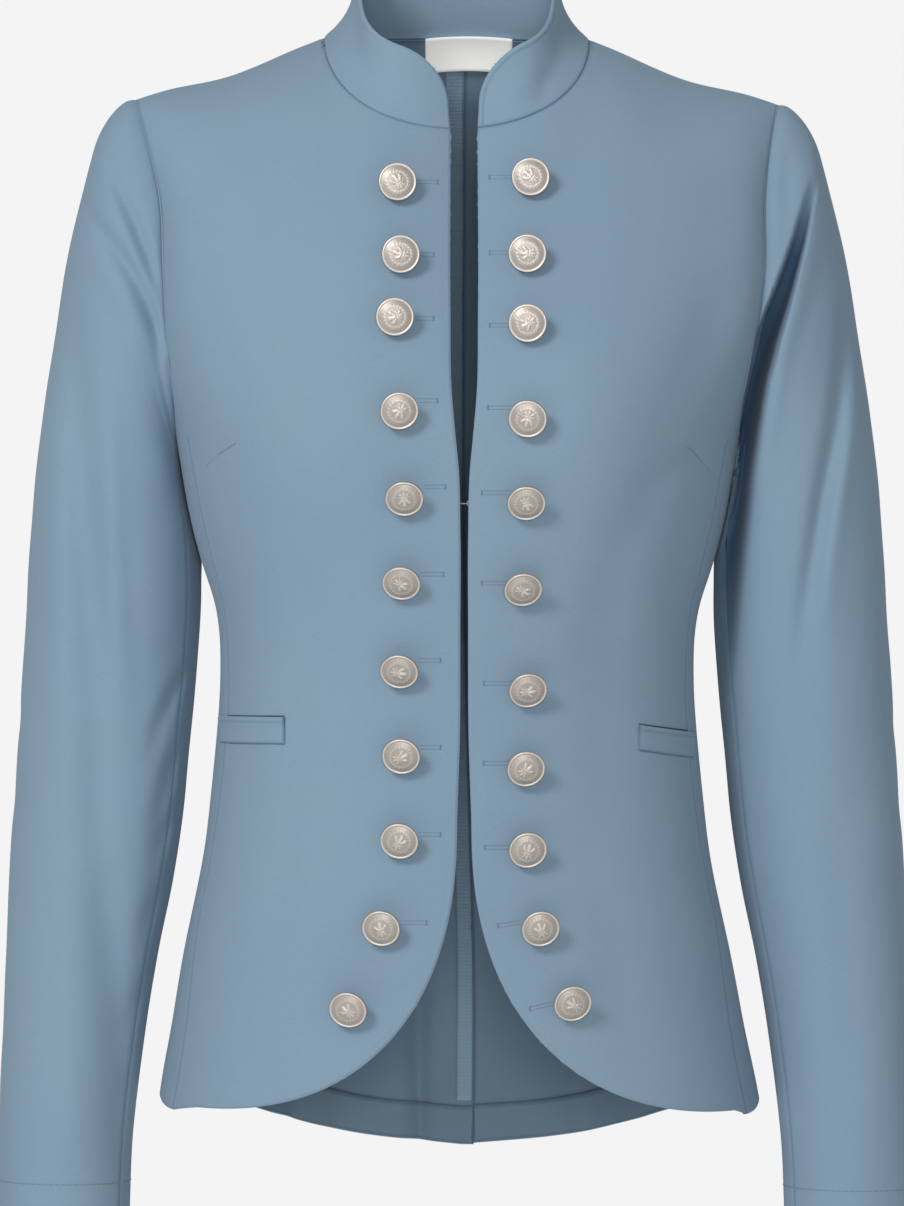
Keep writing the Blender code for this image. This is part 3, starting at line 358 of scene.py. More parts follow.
ring_heights = column(RINGS, "height")
half_width_at = smooth(ring_heights, column(RINGS, "half_width"))
front_depth_at = smooth(ring_heights, column(RINGS, "front"), flat_end=True)
back_depth_at = smooth(ring_heights, column(RINGS, "back"), flat_end=True)
shoulder_height_at = smooth(column(SHOULDER, "out"), column(SHOULDER, "height"))
widening_at = smooth(column(WIDENING, "climbed", 1), column(WIDENING, "share", 1))
front_seam_at = smooth(column(FRONT_SEAM, "height"), np.radians(column(FRONT_SEAM, "angle", 1)))
back_seam_at = smooth(column(BACK_SEAM, "height"), np.radians(column(BACK_SEAM, "angle", 1)))
centre_shift_at = smooth(column(BACK_CENTRE, "height"), column(BACK_CENTRE, "shift"))
hem_at = smooth(np.radians(column(HEM, "angle", 1)), column(HEM, "height"))
edge_gap_at = smooth(column(FRONT_EDGE, "height"), column(FRONT_EDGE, "gap"))


# ---------------------------------------------------------------- torso form
def arc_fullness(angle):
    side = np.abs(np.sin(angle))
    middle = np.where(np.cos(angle) > 0, CHEST_SLOPE, NAPE_SLOPE)
    return middle + (SIDE_SLOPE - middle) * side


def shoulder_end(angle):
    """Where the column at this angle meets the shoulder line: out and height."""
    across, _ = superellipse(angle, RING_FULLNESS)
    edge = np.where(np.cos(angle) > 0, FRONT_ARM_ANGLE, BACK_ARM_ANGLE)
    edge_across, _ = superellipse(edge, RING_FULLNESS)
    out = SHOULDER_TIP * np.minimum(across / edge_across, 1.0)
    return out, shoulder_height_at(np.abs(out))


def swell(shape, x, z):
    dx = (np.abs(x) - shape.out * MM) / (shape.reach_x * MM)
    dz = (z - shape.height * MM) / (shape.reach_z * MM)
    return shape.rise * MM * np.exp(-dx * dx - dz * dz)


def torso(angle, level):
    """Outer face of the body on +X. The level is a height up to the armpit and then a
    share of the climb to the shoulder line."""
    angle = np.asarray(angle, float)
    level = np.asarray(level, float)
    across, ahead = superellipse(angle, RING_FULLNESS)
    below = np.minimum(level, ARMPIT)
    depth = np.where(ahead > 0, front_depth_at(below), back_depth_at(below))
    x = half_width_at(below) * across
    y = -depth * ahead
    climb = np.clip((level - ARMPIT) / CLIMB, 0.0, 1.0) * QUARTER
    up, out = superellipse(climb, arc_fullness(angle))
    shoulder_x, shoulder_z = shoulder_end(angle)
    x = x + (shoulder_x - x) * widening_at(up)
    y = SHOULDER_Y + (y - SHOULDER_Y) * out
    z = below + (shoulder_z - ARMPIT) * up
    y = y + np.where(ahead > 0, -swell(BUST, x, z), swell(SHOULDER_BLADE, x, z))
    return np.stack([x, y, z], axis=-1)


def level_at(angle, z):
    """The level at which a column reaches a height."""
    fullness = arc_fullness(angle)
    _, top = shoulder_end(angle)
    up = np.clip((z - ARMPIT) / (top - ARMPIT), 0.0, 1.0)
    out = (1.0 - up**fullness) ** (1.0 / fullness)
    climb = ARMPIT + CLIMB * np.arctan2(up, out) / QUARTER
    return np.where(z <= ARMPIT, z, climb)


def locate(x, z, back=False):
    """Angle and level of the point of the front or back that is seen at x and z."""
    x = np.atleast_1d(np.asarray(x, float))
    z = np.broadcast_to(np.asarray(z, float), x.shape)
    sign = np.where(x < 0, -1.0, 1.0)
    x = np.abs(x)
    inner = np.full(x.shape, math.pi if back else 0.0)
    outer = np.full(x.shape, QUARTER)
    for _ in range(40):
        middle = (inner + outer) / 2
        beyond = torso(middle, level_at(middle, z))[..., 0] > x
        outer = np.where(beyond, middle, outer)
        inner = np.where(beyond, inner, middle)
    angle = math.pi - (math.pi - middle) * sign if back else middle * sign
    return np.stack([angle, level_at(middle, z)], axis=-1)


def outward(angle, level):
    """Outward direction of the torso on +X."""
    step = 1e-3
    round_body = torso(angle + step, level) - torso(angle - step, level)
    up_body = torso(angle, level + step) - torso(angle, level - step)
    normal = np.cross(round_body, up_body)
    return normal / np.linalg.norm(normal, axis=-1, keepdims=True)


# ---------------------------------------------------------------- nets of the cloth
def walked(points):
    steps = np.linalg.norm(np.diff(points, axis=0), axis=1)
    return np.concatenate([[0.0], np.cumsum(steps)])


def lines(length, step, breaks=()):
    """Shares of a length where its net has threads: close beside both ends, and on breaks."""
    marks = [0.0, *breaks, 1.0]
    shares = [np.linspace(a, b, max(1, round((b - a) * length / step)) + 1)[:-1]
              for a, b in zip(marks, marks[1:])]
    shares = np.concatenate(shares)
    near = np.array(EDGE_LINES) * MM / length
    clear = near[-1] + 0.5 * step / length
    inner = shares[(shares > clear) & (shares < 1 - clear)]
    return np.concatenate([near, inner, 1 - near[::-1]])


def at_length(wanted, length, path):
    """Points at wanted lengths along a path, whose own points stand at the given lengths."""
    return np.stack([np.interp(wanted, length, path[:, k]) for k in range(path.shape[1])], axis=-1)


def along_path(path, shares):
    """Points at shares of a path's length."""
    length = walked(path)
    return at_length(shares * length[-1], length, path)


def spread(path, shares):
    """The path's points set out again over the cloth."""
    length = walked(torso(path[:, 0], path[:, 1]))
    return at_length(shares * length[-1], length, path)


def cloth_length(path):
    return walked(torso(path[:, 0], path[:, 1]))[-1]


def join(*paths):
    return np.concatenate([paths[0]] + [path[1:] for path in paths[1:]])


def between(bottom, top, left, right, across, up):
    """A net between four edges that meet at their ends, at shares across and up."""
    u = across[:, None, None]
    v = up[None, :, None]
    net = (1 - v) * bottom[:, None] + v * top[:, None]
    net = net + (1 - u) * left[None] + u * right[None]
    corners = (1 - u) * (1 - v) * bottom[0] + u * (1 - v) * bottom[-1]
    corners = corners + (1 - u) * v * top[0] + u * v * top[-1]
    return net - corners


def fill(bottom, top, left, right, across, up):
    """A panel's net, between its edges set out over the cloth."""
    return between(spread(bottom, across), spread(top, across), spread(left, up),
                   spread(right, up), across, up)


def seam_path(seam_at, bottom, top, shift):
    levels = np.linspace(bottom, top, SAMPLES)
    return np.stack([seam_at(levels) + shift, levels], axis=-1)


def column_up(angle):
    """The armhole's upright edge, from the armpit's level to the shoulder line."""
    climb = np.linspace(ARMPIT, ARMPIT + CLIMB, 3 * SAMPLES)
    return np.stack([np.full(climb.shape, angle), climb], axis=-1)


def armhole_span():
    tip = float(shoulder_height_at(SHOULDER_TIP))
    return (tip + UNDERARM_Z) / 2, (tip - UNDERARM_Z) / 2


def armhole_angle(turn):
    """Angle round the body of the armhole's lower edge, at a turn from its top."""
    front = turn <= math.pi
    seam_z = np.where(front, FRONT_ARM_SEAM_Z, BACK_ARM_SEAM_Z)
    edge = np.where(front, FRONT_ARM_ANGLE, BACK_ARM_ANGLE)
    middle, reach = armhole_span()
    seam_turn = np.arccos((seam_z - middle) / reach)
    share = np.clip(np.abs(np.sin(turn)) / np.sin(seam_turn), 0.0, 1.0) ** UNDERARM_CURVE
    low = middle + reach * np.cos(turn) < seam_z
    return np.where(low, UNDERARM_ANGLE + (edge - UNDERARM_ANGLE) * share, edge)


def armhole_path(turn):
    middle, reach = armhole_span()
    angle = armhole_angle(turn)
    return np.stack([angle, level_at(angle, middle + reach * np.cos(turn))], axis=-1)


def armhole_turn(z):
    """Turn at which the front of the armhole reaches a height."""
    middle, reach = armhole_span()
    return math.acos((z - middle) / reach)


def cutaway(turn, shift):
    """Points x and z along the rounded front corner; turn 0 is its upper end."""
    down, back = superellipse(turn, CUTAWAY_FULLNESS)
    start = float(edge_gap_at(CUTAWAY_TOP)) + shift
    return start + CUTAWAY_WIDTH * (1 - back), CUTAWAY_TOP - CUTAWAY_DROP * down


def front_neckline(start_x):
    turn = np.linspace(0.0, QUARTER, 4 * SAMPLES)
    across, down = superellipse(turn, NECK_FULLNESS)
    x = NECK_HALF * across
    z = NECK_SIDE_Z - NECK_DROP * down
    kept = x > start_x
    return np.concatenate([[start_x], x[kept]]), np.concatenate([[z[~kept][-1]], z[kept]])


def back_neckline(side):
    nape_x = side * centre_shift_at(0.0) + SEAM_OPEN / 2
    last = math.acos(nape_x / NECK_HALF)
    turn = np.linspace(0.0, last, SAMPLES)
    return NECK_HALF * np.cos(turn), NECK_SIDE_Z + NAPE_RISE * np.sin(turn) ** 2


def front_net(side):
    shift = side * OPENING_SHIFT
    middle = QUARTER / 2
    lower_x, lower_z = cutaway(np.linspace(middle, QUARTER, 3 * SAMPLES), shift)
    lower = locate(lower_x, lower_z)
    seam_angle = float(front_seam_at(HEM[1].height * MM)) - HALF_GAP_ANGLE
    corner = np.array([[seam_angle, float(hem_at(seam_angle))]])
    hem = np.concatenate([lower, corner])

    upper_x, upper_z = cutaway(np.linspace(middle, 0.0, 3 * SAMPLES), shift)
    edge_z = np.linspace(CUTAWAY_TOP, NECK_CORNER_Z, 3 * SAMPLES)
    edge = locate(edge_gap_at(edge_z) + shift, edge_z)
    front = join(locate(upper_x, upper_z), edge)

    neck_x, neck_z = front_neckline(float(edge_gap_at(NECK_CORNER_Z)) + shift)
    neck = locate(neck_x, neck_z)
    neck[0] = front[-1]
    neck[-1, 1] = ARMPIT + CLIMB
    arm_angle = FRONT_ARM_ANGLE - HALF_GAP_ANGLE
    ridge = np.linspace(neck[-1, 0], arm_angle, SAMPLES)
    shoulder = np.stack([ridge, np.full(SAMPLES, ARMPIT + CLIMB)], axis=-1)
    top = join(neck, shoulder)

    seam = seam_path(front_seam_at, corner[0, 1], ARMPIT, -HALF_GAP_ANGLE)
    outer = join(seam, column_up(arm_angle))
    across = lines(cloth_length(top), NET_STEP, [cloth_length(neck) / cloth_length(top)])
    up = lines(cloth_length(outer), NET_STEP)
    return fill(hem, top, front, outer, across, up)


def side_net():
    front_turn = armhole_turn(FRONT_ARM_SEAM_Z)
    back_turn = 2 * math.pi - armhole_turn(BACK_ARM_SEAM_Z)
    top = armhole_path(np.linspace(front_turn, back_turn, 2 * SAMPLES))
    top[0, 0] += HALF_GAP_ANGLE
    top[-1, 0] -= HALF_GAP_ANGLE
    first = float(front_seam_at(HEM[1].height * MM)) + HALF_GAP_ANGLE
    last = float(back_seam_at(HEM[3].height * MM)) - HALF_GAP_ANGLE
    angles = np.linspace(first, last, SAMPLES)
    hem = np.stack([angles, hem_at(angles)], axis=-1)
    front = seam_path(front_seam_at, hem[0, 1], top[0, 1], HALF_GAP_ANGLE)
    back = seam_path(back_seam_at, hem[-1, 1], top[-1, 1], -HALF_GAP_ANGLE)
    across = lines(cloth_length(hem), NET_STEP)
    up = lines(cloth_length(front), NET_STEP)
    return fill(hem, top, front, back, across, up)


def centre_angle(level, side):
    shift = side * centre_shift_at(level) + SEAM_OPEN / 2
    return math.pi - shift / CENTRE_RADIUS


def back_net(side):
    first = float(back_seam_at(HEM[3].height * MM)) + HALF_GAP_ANGLE
    last = centre_angle(HEM[-1].height * MM, side)
    angles = np.linspace(first, last, SAMPLES)
    hem = np.stack([angles, hem_at(np.minimum(angles, math.pi))], axis=-1)

    neck_x, neck_z = back_neckline(side)
    neck = locate(neck_x, neck_z, back=True)
    neck[0, 1] = ARMPIT + CLIMB
    arm_angle = BACK_ARM_ANGLE + HALF_GAP_ANGLE
    ridge = np.linspace(arm_angle, neck[0, 0], SAMPLES)
    shoulder = np.stack([ridge, np.full(SAMPLES, ARMPIT + CLIMB)], axis=-1)
    top = join(shoulder, neck)

    seam = seam_path(back_seam_at, hem[0, 1], ARMPIT, HALF_GAP_ANGLE)
    outer = join(seam, column_up(arm_angle))
    levels = np.linspace(hem[-1, 1], neck[-1, 1], 3 * SAMPLES)
    centre = np.stack([centre_angle(levels, side), levels], axis=-1)
    centre[-1] = neck[-1]
    across = lines(cloth_length(top), NET_STEP, [cloth_length(shoulder) / cloth_length(top)])
    up = lines(cloth_length(outer), NET_STEP)
    return fill(hem, top, outer, centre, across, up)


def body_face(place, side, parting=0.0):
    """Outer face of the body as worn, moved back by a parting at the shoulder seam."""
    points = torso(place[..., 0], place[..., 1])
    points[..., 1] += parting
    low = np.clip((SWAY_TOP - points[..., 2]) / SWAY_REACH, 0.0, 1.0)
    points[..., 0] += side * HEM_SWAY * low * low
    return points


# ---------------------------------------------------------------- sleeve form
FOLD_TURN = 112.0  # degrees from a sleeve's outer point to its deepest folds
FOLD_SPREAD = 40.0
FOLD_THREADS = 0.9  # how many more threads, as a share, its folds have
FINE = 1200  # points along a curve while its net is set out
section_keys = np.arange(len(SLEEVE), dtype=float)
sleeve_curves = [smooth(section_keys, column(SLEEVE, name)) for name in SLEEVE[0]._fields]


def sleeve_point(turn, section):
    """Outer face of the +X sleeve: turn from its outer point by the front, and section."""
    out, ahead = np.cos(turn), np.sin(turn)

    def oval(outer_x, outer_z, inner_x, inner_z, middle_y, half_depth):
        x = (outer_x + inner_x) / 2 + (outer_x - inner_x) / 2 * out
        z = (outer_z + inner_z) / 2 + (outer_z - inner_z) / 2 * out
        return np.stack([x, middle_y - half_depth * ahead, z], axis=-1)

    path = armhole_path(np.mod(turn, 2 * math.pi))
    hole = torso(path[..., 0], path[..., 1]) + np.array([ARMHOLE_STEP, 0.0, 0.0])
    fade = np.clip(1.0 - section / ARMHOLE_FADE, 0.0, 1.0) ** 1.5
    start = oval(*SLEEVE[0]) * MM
    return oval(*(curve(section) for curve in sleeve_curves)) + (hole - start) * fade[..., None]


def sleeve_rows():
    """Sections whose rings stand a net's step apart where they are furthest."""
    fine = np.linspace(0.0, len(SLEEVE) - 1, FINE)
    reach = np.zeros(FINE)
    for turn in (0.0, QUARTER, math.pi):
        length = walked(sleeve_point(np.full(FINE, turn), fine))
        reach = np.maximum(reach, np.gradient(length))
    length = np.concatenate([[0.0], np.cumsum(reach[1:])])
    return np.interp(lines(length[-1], SLEEVE_STEP) * length[-1], length, fine)


def sleeve_turns(first, last):
    """Turns of a sleeve's columns, closer in front, where its folds are."""
    fine = np.linspace(first, last, FINE)
    front = np.exp(-(((np.degrees(fine) - FOLD_TURN) / FOLD_SPREAD) ** 2))
    steps = np.diff(fine) * SLEEVE_RADIUS * (1 + FOLD_THREADS * front[1:])
    density = np.concatenate([[0.0], np.cumsum(steps)])
    return np.interp(lines(density[-1], SLEEVE_STEP) * density[-1], density, fine)


# ---------------------------------------------------------------- working the cloth
CORNER = 4  # threads at a net's corners that share one direction
SEAM, FOLDED, HEMMED = "seam", "folded", "hemmed"
# What a worked edge does to the cloth beside it, in millimetres: it drops by this much at a
# distance from the edge, over a reach to each side.
Drop = namedtuple("Drop", "depth distance reach")
SEWN_EDGE = Drop(0.26, 0.0, 0.8)
FREE_EDGE = Drop(0.9, 0.0, 0.9)
STITCHED_LINE = Drop(0.26, 2.7, 0.55)
SEAM_PUFF = Drop(0.16, 3.6, 2.0)
# The next two are not drops of the cloth: they give painted shade, from 0 to 1, beside a pressed
# line and along a seam.
PRESS_PAINTED_SHADE = Drop(1.0, 2.9, 0.6)
SEAM_PAINTED_SHADE = Drop(1.0, 0.0, 0.9)


def facing(points):
    """Outward directions over a net."""
    normal = np.cross(np.gradient(points, axis=0), np.gradient(points, axis=1))
    normal /= np.maximum(np.linalg.norm(normal, axis=-1, keepdims=True), 1e-12)
    ends = (slice(0, CORNER), slice(-1, -CORNER - 1, -1))
    for rows in ends:
        for columns in ends:
            corner = normal[rows, columns]
            corner[:] = corner[-1:, -1:]
    return normal


def round_mean(points):
    """Mean of the four neighbours of each point inside a net."""
    return (points[:-2, 1:-1] + points[2:, 1:-1] + points[1:-1, :-2] + points[1:-1, 2:]) / 4


def relaxed(points, count=15, rounds=150):
    """The net's first corner, which lies within a rounded edge, with its threads evened out."""
    eased = points.copy()
    patch = eased[:count, :count]
    for _ in range(rounds):
        patch[1:-1, 1:-1] = round_mean(patch)
    return eased


def creased(points, part, side):
    """The net with the worn creases of its part pressed straight in, as each is seen."""
    normal = facing(points)
    moved = points.copy()
    held = held_at_top(points, part)
    for crease in CREASES:
        if crease.part != part or crease.side not in (0, side):
            continue
        axis, outwards = VIEWS[crease.seen]
        seen = np.delete(points, axis, axis=-1)
        weight = ease(normal[..., axis] * outwards * FACING_GAIN)
        moved[..., axis] -= outwards * weight * held * crease_depth(seen, crease)
    return moved + normal * unevenness(points)[..., None]


def held_at_top(points, part):
    """A sleeve's folds fade out towards the armhole that it is sewn into."""
    if part != "sleeve":
        return 1.0
    steps = np.linalg.norm(np.diff(points[:, ::-1], axis=1), axis=-1)
    run = np.concatenate([np.zeros((len(points), 1)), np.cumsum(steps, axis=1)], axis=1)[:, ::-1]
    return ease(run / ARMHOLE_HOLD)


def unevenness(points):
    """The slight waviness of worn jersey."""
    x, y, z = (points[..., k] for k in range(3))
    wave = np.sin(x * 61 + 0.8 * np.sin(z * 37)) * np.sin(z * 47 + y * 29 + 1.3)
    small = np.sin(x * 133 + z * 41 + 0.5) * np.sin(z * 97 - y * 71)
    return (0.28 * wave + 0.12 * small) * MM


def settled(points, part, side):
    """The wearer's left sleeve evened out in the underarm."""
    if part != "sleeve" or side < 0:
        return points
    easing = UNDERARM_EASING
    low = np.exp(-(((points[..., 2] - easing.height * MM) / (easing.reach_z * MM)) ** 4))
    mask = low * ease((easing.out * MM - points[..., 0]) / (easing.fade * MM))
    mask = mask[1:-1, 1:-1, None]
    eased = points.copy()
    for _ in range(easing.rounds):
        eased[1:-1, 1:-1] += mask * (round_mean(eased) - eased[1:-1, 1:-1])
    return eased


def near(points, axis, middle, reach):
    """The squared distance along one axis, as shares of a reach."""
    return ((points[..., axis] - middle * MM) / (reach * MM)) ** 2


def pulled(points, part, side):
    """The net drawn along and forward at the front of its armhole, and in at the underarm."""
    moved = points.copy()
    if part == "sleeve":
        rest = UNDERARM_REST
        inner = ease(((rest.out + rest.reach_x) * MM - points[..., 0]) / (rest.reach_x * MM))
        behind = np.exp(-near(points, 1, rest.depth, rest.reach_y))
        low = np.exp(-near(points, 2, rest.height, rest.reach_z))
        moved[..., 0] += low * inner * behind * rest.shift * MM
    for pull in ARMHOLE_PULLS:
        if pull.side == side:
            weight = np.exp(-near(points, 0, pull.out, pull.reach_x)
                            - near(points, 2, pull.height, pull.reach_z))
            weight *= ease(-points[..., 1] / PULL_FRONT)
            moved[..., 0] += weight * pull.shift * MM
            moved[..., 1] -= weight * pull.forward * MM
    return moved


def painted_fold_shade(points, part, side):
    """Painted shade at each point, from 0 to 1: how deep it lies in a square fold of its part."""
    weight = ease(-facing(points)[..., 1] * FACING_GAIN)
    deep = np.zeros(points.shape[:2])
    for crease in CREASES:
        if crease.part == part and crease.side in (0, side) and crease.section == SQUARE:
            depth = crease_depth(np.delete(points, 1, axis=-1), crease)
            deep = np.maximum(deep, weight * depth / DEEPEST)
    return np.clip(deep, 0.0, 1.0)


def crease_depth(seen, crease):
    nearest = np.full(seen.shape[:2], 1e9)
    depth = np.zeros(seen.shape[:2])
    for first, last in zip(crease.places, crease.places[1:]):
        start = np.array([first.out, first.up]) * MM
        run = np.array([last.out, last.up]) * MM - start
        away = seen - start
        along = np.clip((away @ run) / (run @ run), 0.0, 1.0)
        reach = (first.reach + (last.reach - first.reach) * along) * MM
        gap = np.linalg.norm(away - along[..., None] * run, axis=-1) / reach
        here = (first.depth + (last.depth - first.depth) * along) * MM
        closer = gap < nearest
        nearest = np.where(closer, gap, nearest)
        depth = np.where(closer, here, depth)
    return depth * np.exp(-np.abs(nearest) ** crease.section)


def edge_gap(points, path):
    """Distance of every point of a net from one of its edges, as far as the near threads go."""
    length = walked(path)
    count = max(2, int(length[-1] / (0.5 * MM)))
    wanted = np.linspace(0.0, length[-1], count)
    dense = at_length(wanted, length, path)
    tree = kdtree.KDTree(count)
    for k, point in enumerate(dense):
        tree.insert(point, k)
    tree.balance()
    flat = points.reshape(-1, 3)
    gaps = np.array([tree.find(point)[2] for point in flat])
    return gaps.reshape(points.shape[:2])


def dropped(gap, drop):
    """How far the cloth drops at a gap, in millimetres, from a worked edge."""
    return drop.depth * np.exp(-(((gap - drop.distance) / drop.reach) ** 2))


def finish_edges(points, kinds):
    """The net with its edges turned in, and the painted shade along its seams and pressed lines.
    The kinds are those of its lower, upper, left and right edge."""
    normal = facing(points)
    edges = ((np.s_[:, 0], np.s_[:, 2]), (np.s_[:, -1], np.s_[:, -3]),
             (np.s_[0], np.s_[2]), (np.s_[-1], np.s_[-3]))
    nearest = {kind: np.full(points.shape[:2], 1e3) for kind in (SEAM, FOLDED, HEMMED)}
    for kind, (edge, _) in zip(kinds, edges):
        nearest[kind] = np.minimum(nearest[kind], edge_gap(points, points[edge]) / MM)
    free = np.minimum(nearest[FOLDED], nearest[HEMMED])
    drop = np.maximum(dropped(nearest[SEAM], SEWN_EDGE), dropped(free, FREE_EDGE))
    drop += dropped(nearest[FOLDED], STITCHED_LINE)
    drop -= dropped(nearest[SEAM], SEAM_PUFF)
    worked = points - normal * drop[..., None] * MM
    for kind, (edge, inside) in zip(kinds, edges):
        if kind == SEAM:
            out = points[edge] - points[inside]
            out /= np.linalg.norm(out, axis=-1, keepdims=True)
            worked[edge] += out * TURN_OUT - normal[edge] * TURN_IN
    return worked, dropped(nearest[SEAM], SEAM_PAINTED_SHADE), dropped(nearest[FOLDED], PRESS_PAINTED_SHADE)


def hang(points):
    """The garment's slight tilt on the wearer."""
    hung = np.array(points, float)
    hung[..., 2] -= HANG_TILT * hung[..., 0]
    return hung


def worn(points, side):
    """Points worked out on +X, on their own side of the worn blazer."""
    return hang(points * np.array([side, 1.0, 1.0]))


skins = {}  # outer face of each piece of cloth, for what is sewn on it
nets = {}  # worked net of each panel


def cloth_panel(name, points, side, finish, wall=WALL, painted_shade=None, inner_faces_finish=None, **stands_for):
    """A grid laid on the given net, as a wall whose outer face is the net. Its own map is in
    metres over the cloth, from the hem or cuff up."""
    columns, rows = points.shape[0] - 1, points.shape[1] - 1
    grid = bmesh.new()
    flat = grid.loops.layers.uv.new("cloth")
    shaded = grid.verts.layers.float.new("painted_shade")
    bmesh.ops.create_grid(grid, x_segments=columns, y_segments=rows, size=1.0)
    placed = worn(points, side)
    across = np.concatenate([np.zeros((1, rows + 1)), steps_along(points, 0)])
    up = np.concatenate([np.zeros((columns + 1, 1)), steps_along(points, 1)], axis=1)
    up += points[:, :1, 2]
    place = {}
    for vert in grid.verts:
        i = round((vert.co.x + 1) / 2 * columns)
        j = round((vert.co.y + 1) / 2 * rows)
        vert.co = placed[i, j]
        place[vert] = (across[i, j], up[i, j])
        # each point keeps its painted shade for the material
        if painted_shade is not None:
            vert[shaded] = painted_shade[i, j]
    for face in grid.faces:
        for loop in face.loops:
            loop[flat].uv = place[loop.vert]
    if side < 0:
        bmesh.ops.reverse_faces(grid, faces=grid.faces)
    grid.normal_update()
    mesh = bpy.data.meshes.new(name)
    grid.to_mesh(mesh)
    skins[name] = BVHTree.FromBMesh(grid)
    grid.free()
    thing = add_piece(name, mesh, finish, **stands_for)
    solid = thing.modifiers.new("wall", "SOLIDIFY")
    solid.thickness = wall
    solid.offset = -1.0
    # the inner faces take a darker finish: painted shade for the inside
    if inner_faces_finish:
        mesh.materials.append(inner_faces_finish)
        solid.material_offset = 1
    return thing


def steps_along(points, axis):
    """Length of cloth from a net's first row, along one of its ways."""
    return np.cumsum(np.linalg.norm(np.diff(points, axis=axis), axis=-1), axis=axis)


def add_piece(name, mesh, finish, node=None, slot="jersey"):
    """A piece on the blazer's one body, in the given finish. One that stands for a node hides the
    node's part; the slot is not used.
    """
    mesh.name = name
    if isinstance(mesh, bpy.types.Mesh):
        mesh.shade_smooth()
    mesh.materials.append(finish)
    thing = bpy.data.objects.new(name, mesh)
    bpy.context.scene.collection.objects.link(thing)
    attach(thing, "root")
    if node:
        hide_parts(node)
    return thing


# ---------------------------------------------------------------- materials
def mixed(tree, kind, first, second, factor=None):
    """A colour node that mixes or multiplies two colours or sockets."""
    mix = tree.nodes.new("ShaderNodeMix")
    mix.data_type = "RGBA"
    mix.blend_type = kind
    mix.inputs["Factor"].default_value = 1.0
    for socket, value in (("A", first), ("B", second), ("Factor", factor)):
        if isinstance(value, bpy.types.NodeSocket):
            tree.links.new(value, mix.inputs[socket])
        elif value is not None:
            mix.inputs[socket].default_value = value
    return mix.outputs["Result"]


def ranged(tree, value, low, high, new_low, new_high):
    scale = tree.nodes.new("ShaderNodeMapRange")
    ends = {"From Min": low, "From Max": high, "To Min": new_low, "To Max": new_high}
    for name, number in ends.items():
        scale.inputs[name].default_value = number
    tree.links.new(value, scale.inputs["Value"])
    return scale.outputs["Result"]


def noise(tree, vector, scale, detail=2.0):
    made = tree.nodes.new("ShaderNodeTexNoise")
    made.inputs["Scale"].default_value = scale
    made.inputs["Detail"].default_value = detail
    tree.links.new(vector, made.inputs["Vector"])
    return made.outputs["Fac"]


def bump(tree, height, strength, distance, below=None):
    made = tree.nodes.new("ShaderNodeBump")
    made.inputs["Strength"].default_value = strength
    made.inputs["Distance"].default_value = distance
    tree.links.new(height, made.inputs["Height"])
    if below is not None:
        tree.links.new(below, made.inputs["Normal"])
    return made.outputs["Normal"]


def bands(tree, vector, direction, period, distortion):
    made = tree.nodes.new("ShaderNodeTexWave")
    made.bands_direction = direction
    made.inputs["Scale"].default_value = 2 * math.pi / 20 / period
    made.inputs["Distortion"].default_value = distortion
    made.inputs["Detail"].default_value = 1.0
    tree.links.new(vector, made.inputs["Vector"])
    return made.outputs["Fac"]


def jersey_material(name, dark, light, course=1.1 * MM, relief=1.0):
    """Fine double-knit jersey: level courses, faint wales, melange yarn, a soft nap, and painted
    shade.
    """
    made = bpy.data.materials.new(name)
    made.use_nodes = True
    tree = made.node_tree
    shader = tree.nodes["Principled BSDF"]
    shader.inputs["Specular IOR Level"].default_value = 0.15
    shader.inputs["Sheen Weight"].default_value = 0.16
    shader.inputs["Sheen Roughness"].default_value = 0.5
    shader.inputs["Sheen Tint"].default_value = (0.80, 0.90, 1.0, 1.0)
    flat = tree.nodes.new("ShaderNodeUVMap")
    flat.uv_map = "cloth"
    flat = flat.outputs["UV"]
    place = tree.nodes.new("ShaderNodeTexCoord").outputs["Object"]
    stretch = tree.nodes.new("ShaderNodeMapping")
    stretch.inputs["Scale"].default_value = (220, 1500, 1)
    tree.links.new(flat, stretch.inputs["Vector"])
    yarn = noise(tree, stretch.outputs["Vector"], 1.0, 3.0)
    cloud = noise(tree, place, 7.0)
    speck = noise(tree, place, 1600.0, 1.0)
    courses = bands(tree, flat, "Y", course, 0.4)
    wales = bands(tree, flat, "X", 0.9 * MM, 0.5)
    colour = mixed(tree, "MIX", dark, light, ranged(tree, cloud, 0.15, 0.85, 0.0, 1.0))
    for value, vary in ((yarn, 0.03), (speck, 0.03), (courses, 0.015)):
        tint = ranged(tree, value, 0.25, 0.75, 1 - vary, 1 + vary)
        colour = mixed(tree, "MULTIPLY", colour, tint)
    # painted shade: the colour is multiplied towards dark blue by the attribute holding the painted
    # shade of deep folds and seams
    painted_shade = tree.nodes.new("ShaderNodeAttribute")
    painted_shade.attribute_name = "painted_shade"
    colour = mixed(tree, "MULTIPLY", colour, (0.28, 0.40, 0.52, 1), painted_shade.outputs["Fac"])
    tree.links.new(colour, shader.inputs["Base Color"])
    tree.links.new(ranged(tree, speck, 0.2, 0.8, 0.82, 0.94), shader.inputs["Roughness"])
    relief_map = bump(tree, courses, 0.14 * relief, 0.10 * MM)
    relief_map = bump(tree, wales, 0.08 * relief, 0.06 * MM, relief_map)
    relief_map = bump(tree, yarn, 0.22, 0.10 * MM, relief_map)
    tree.links.new(relief_map, shader.inputs["Normal"])
    return made


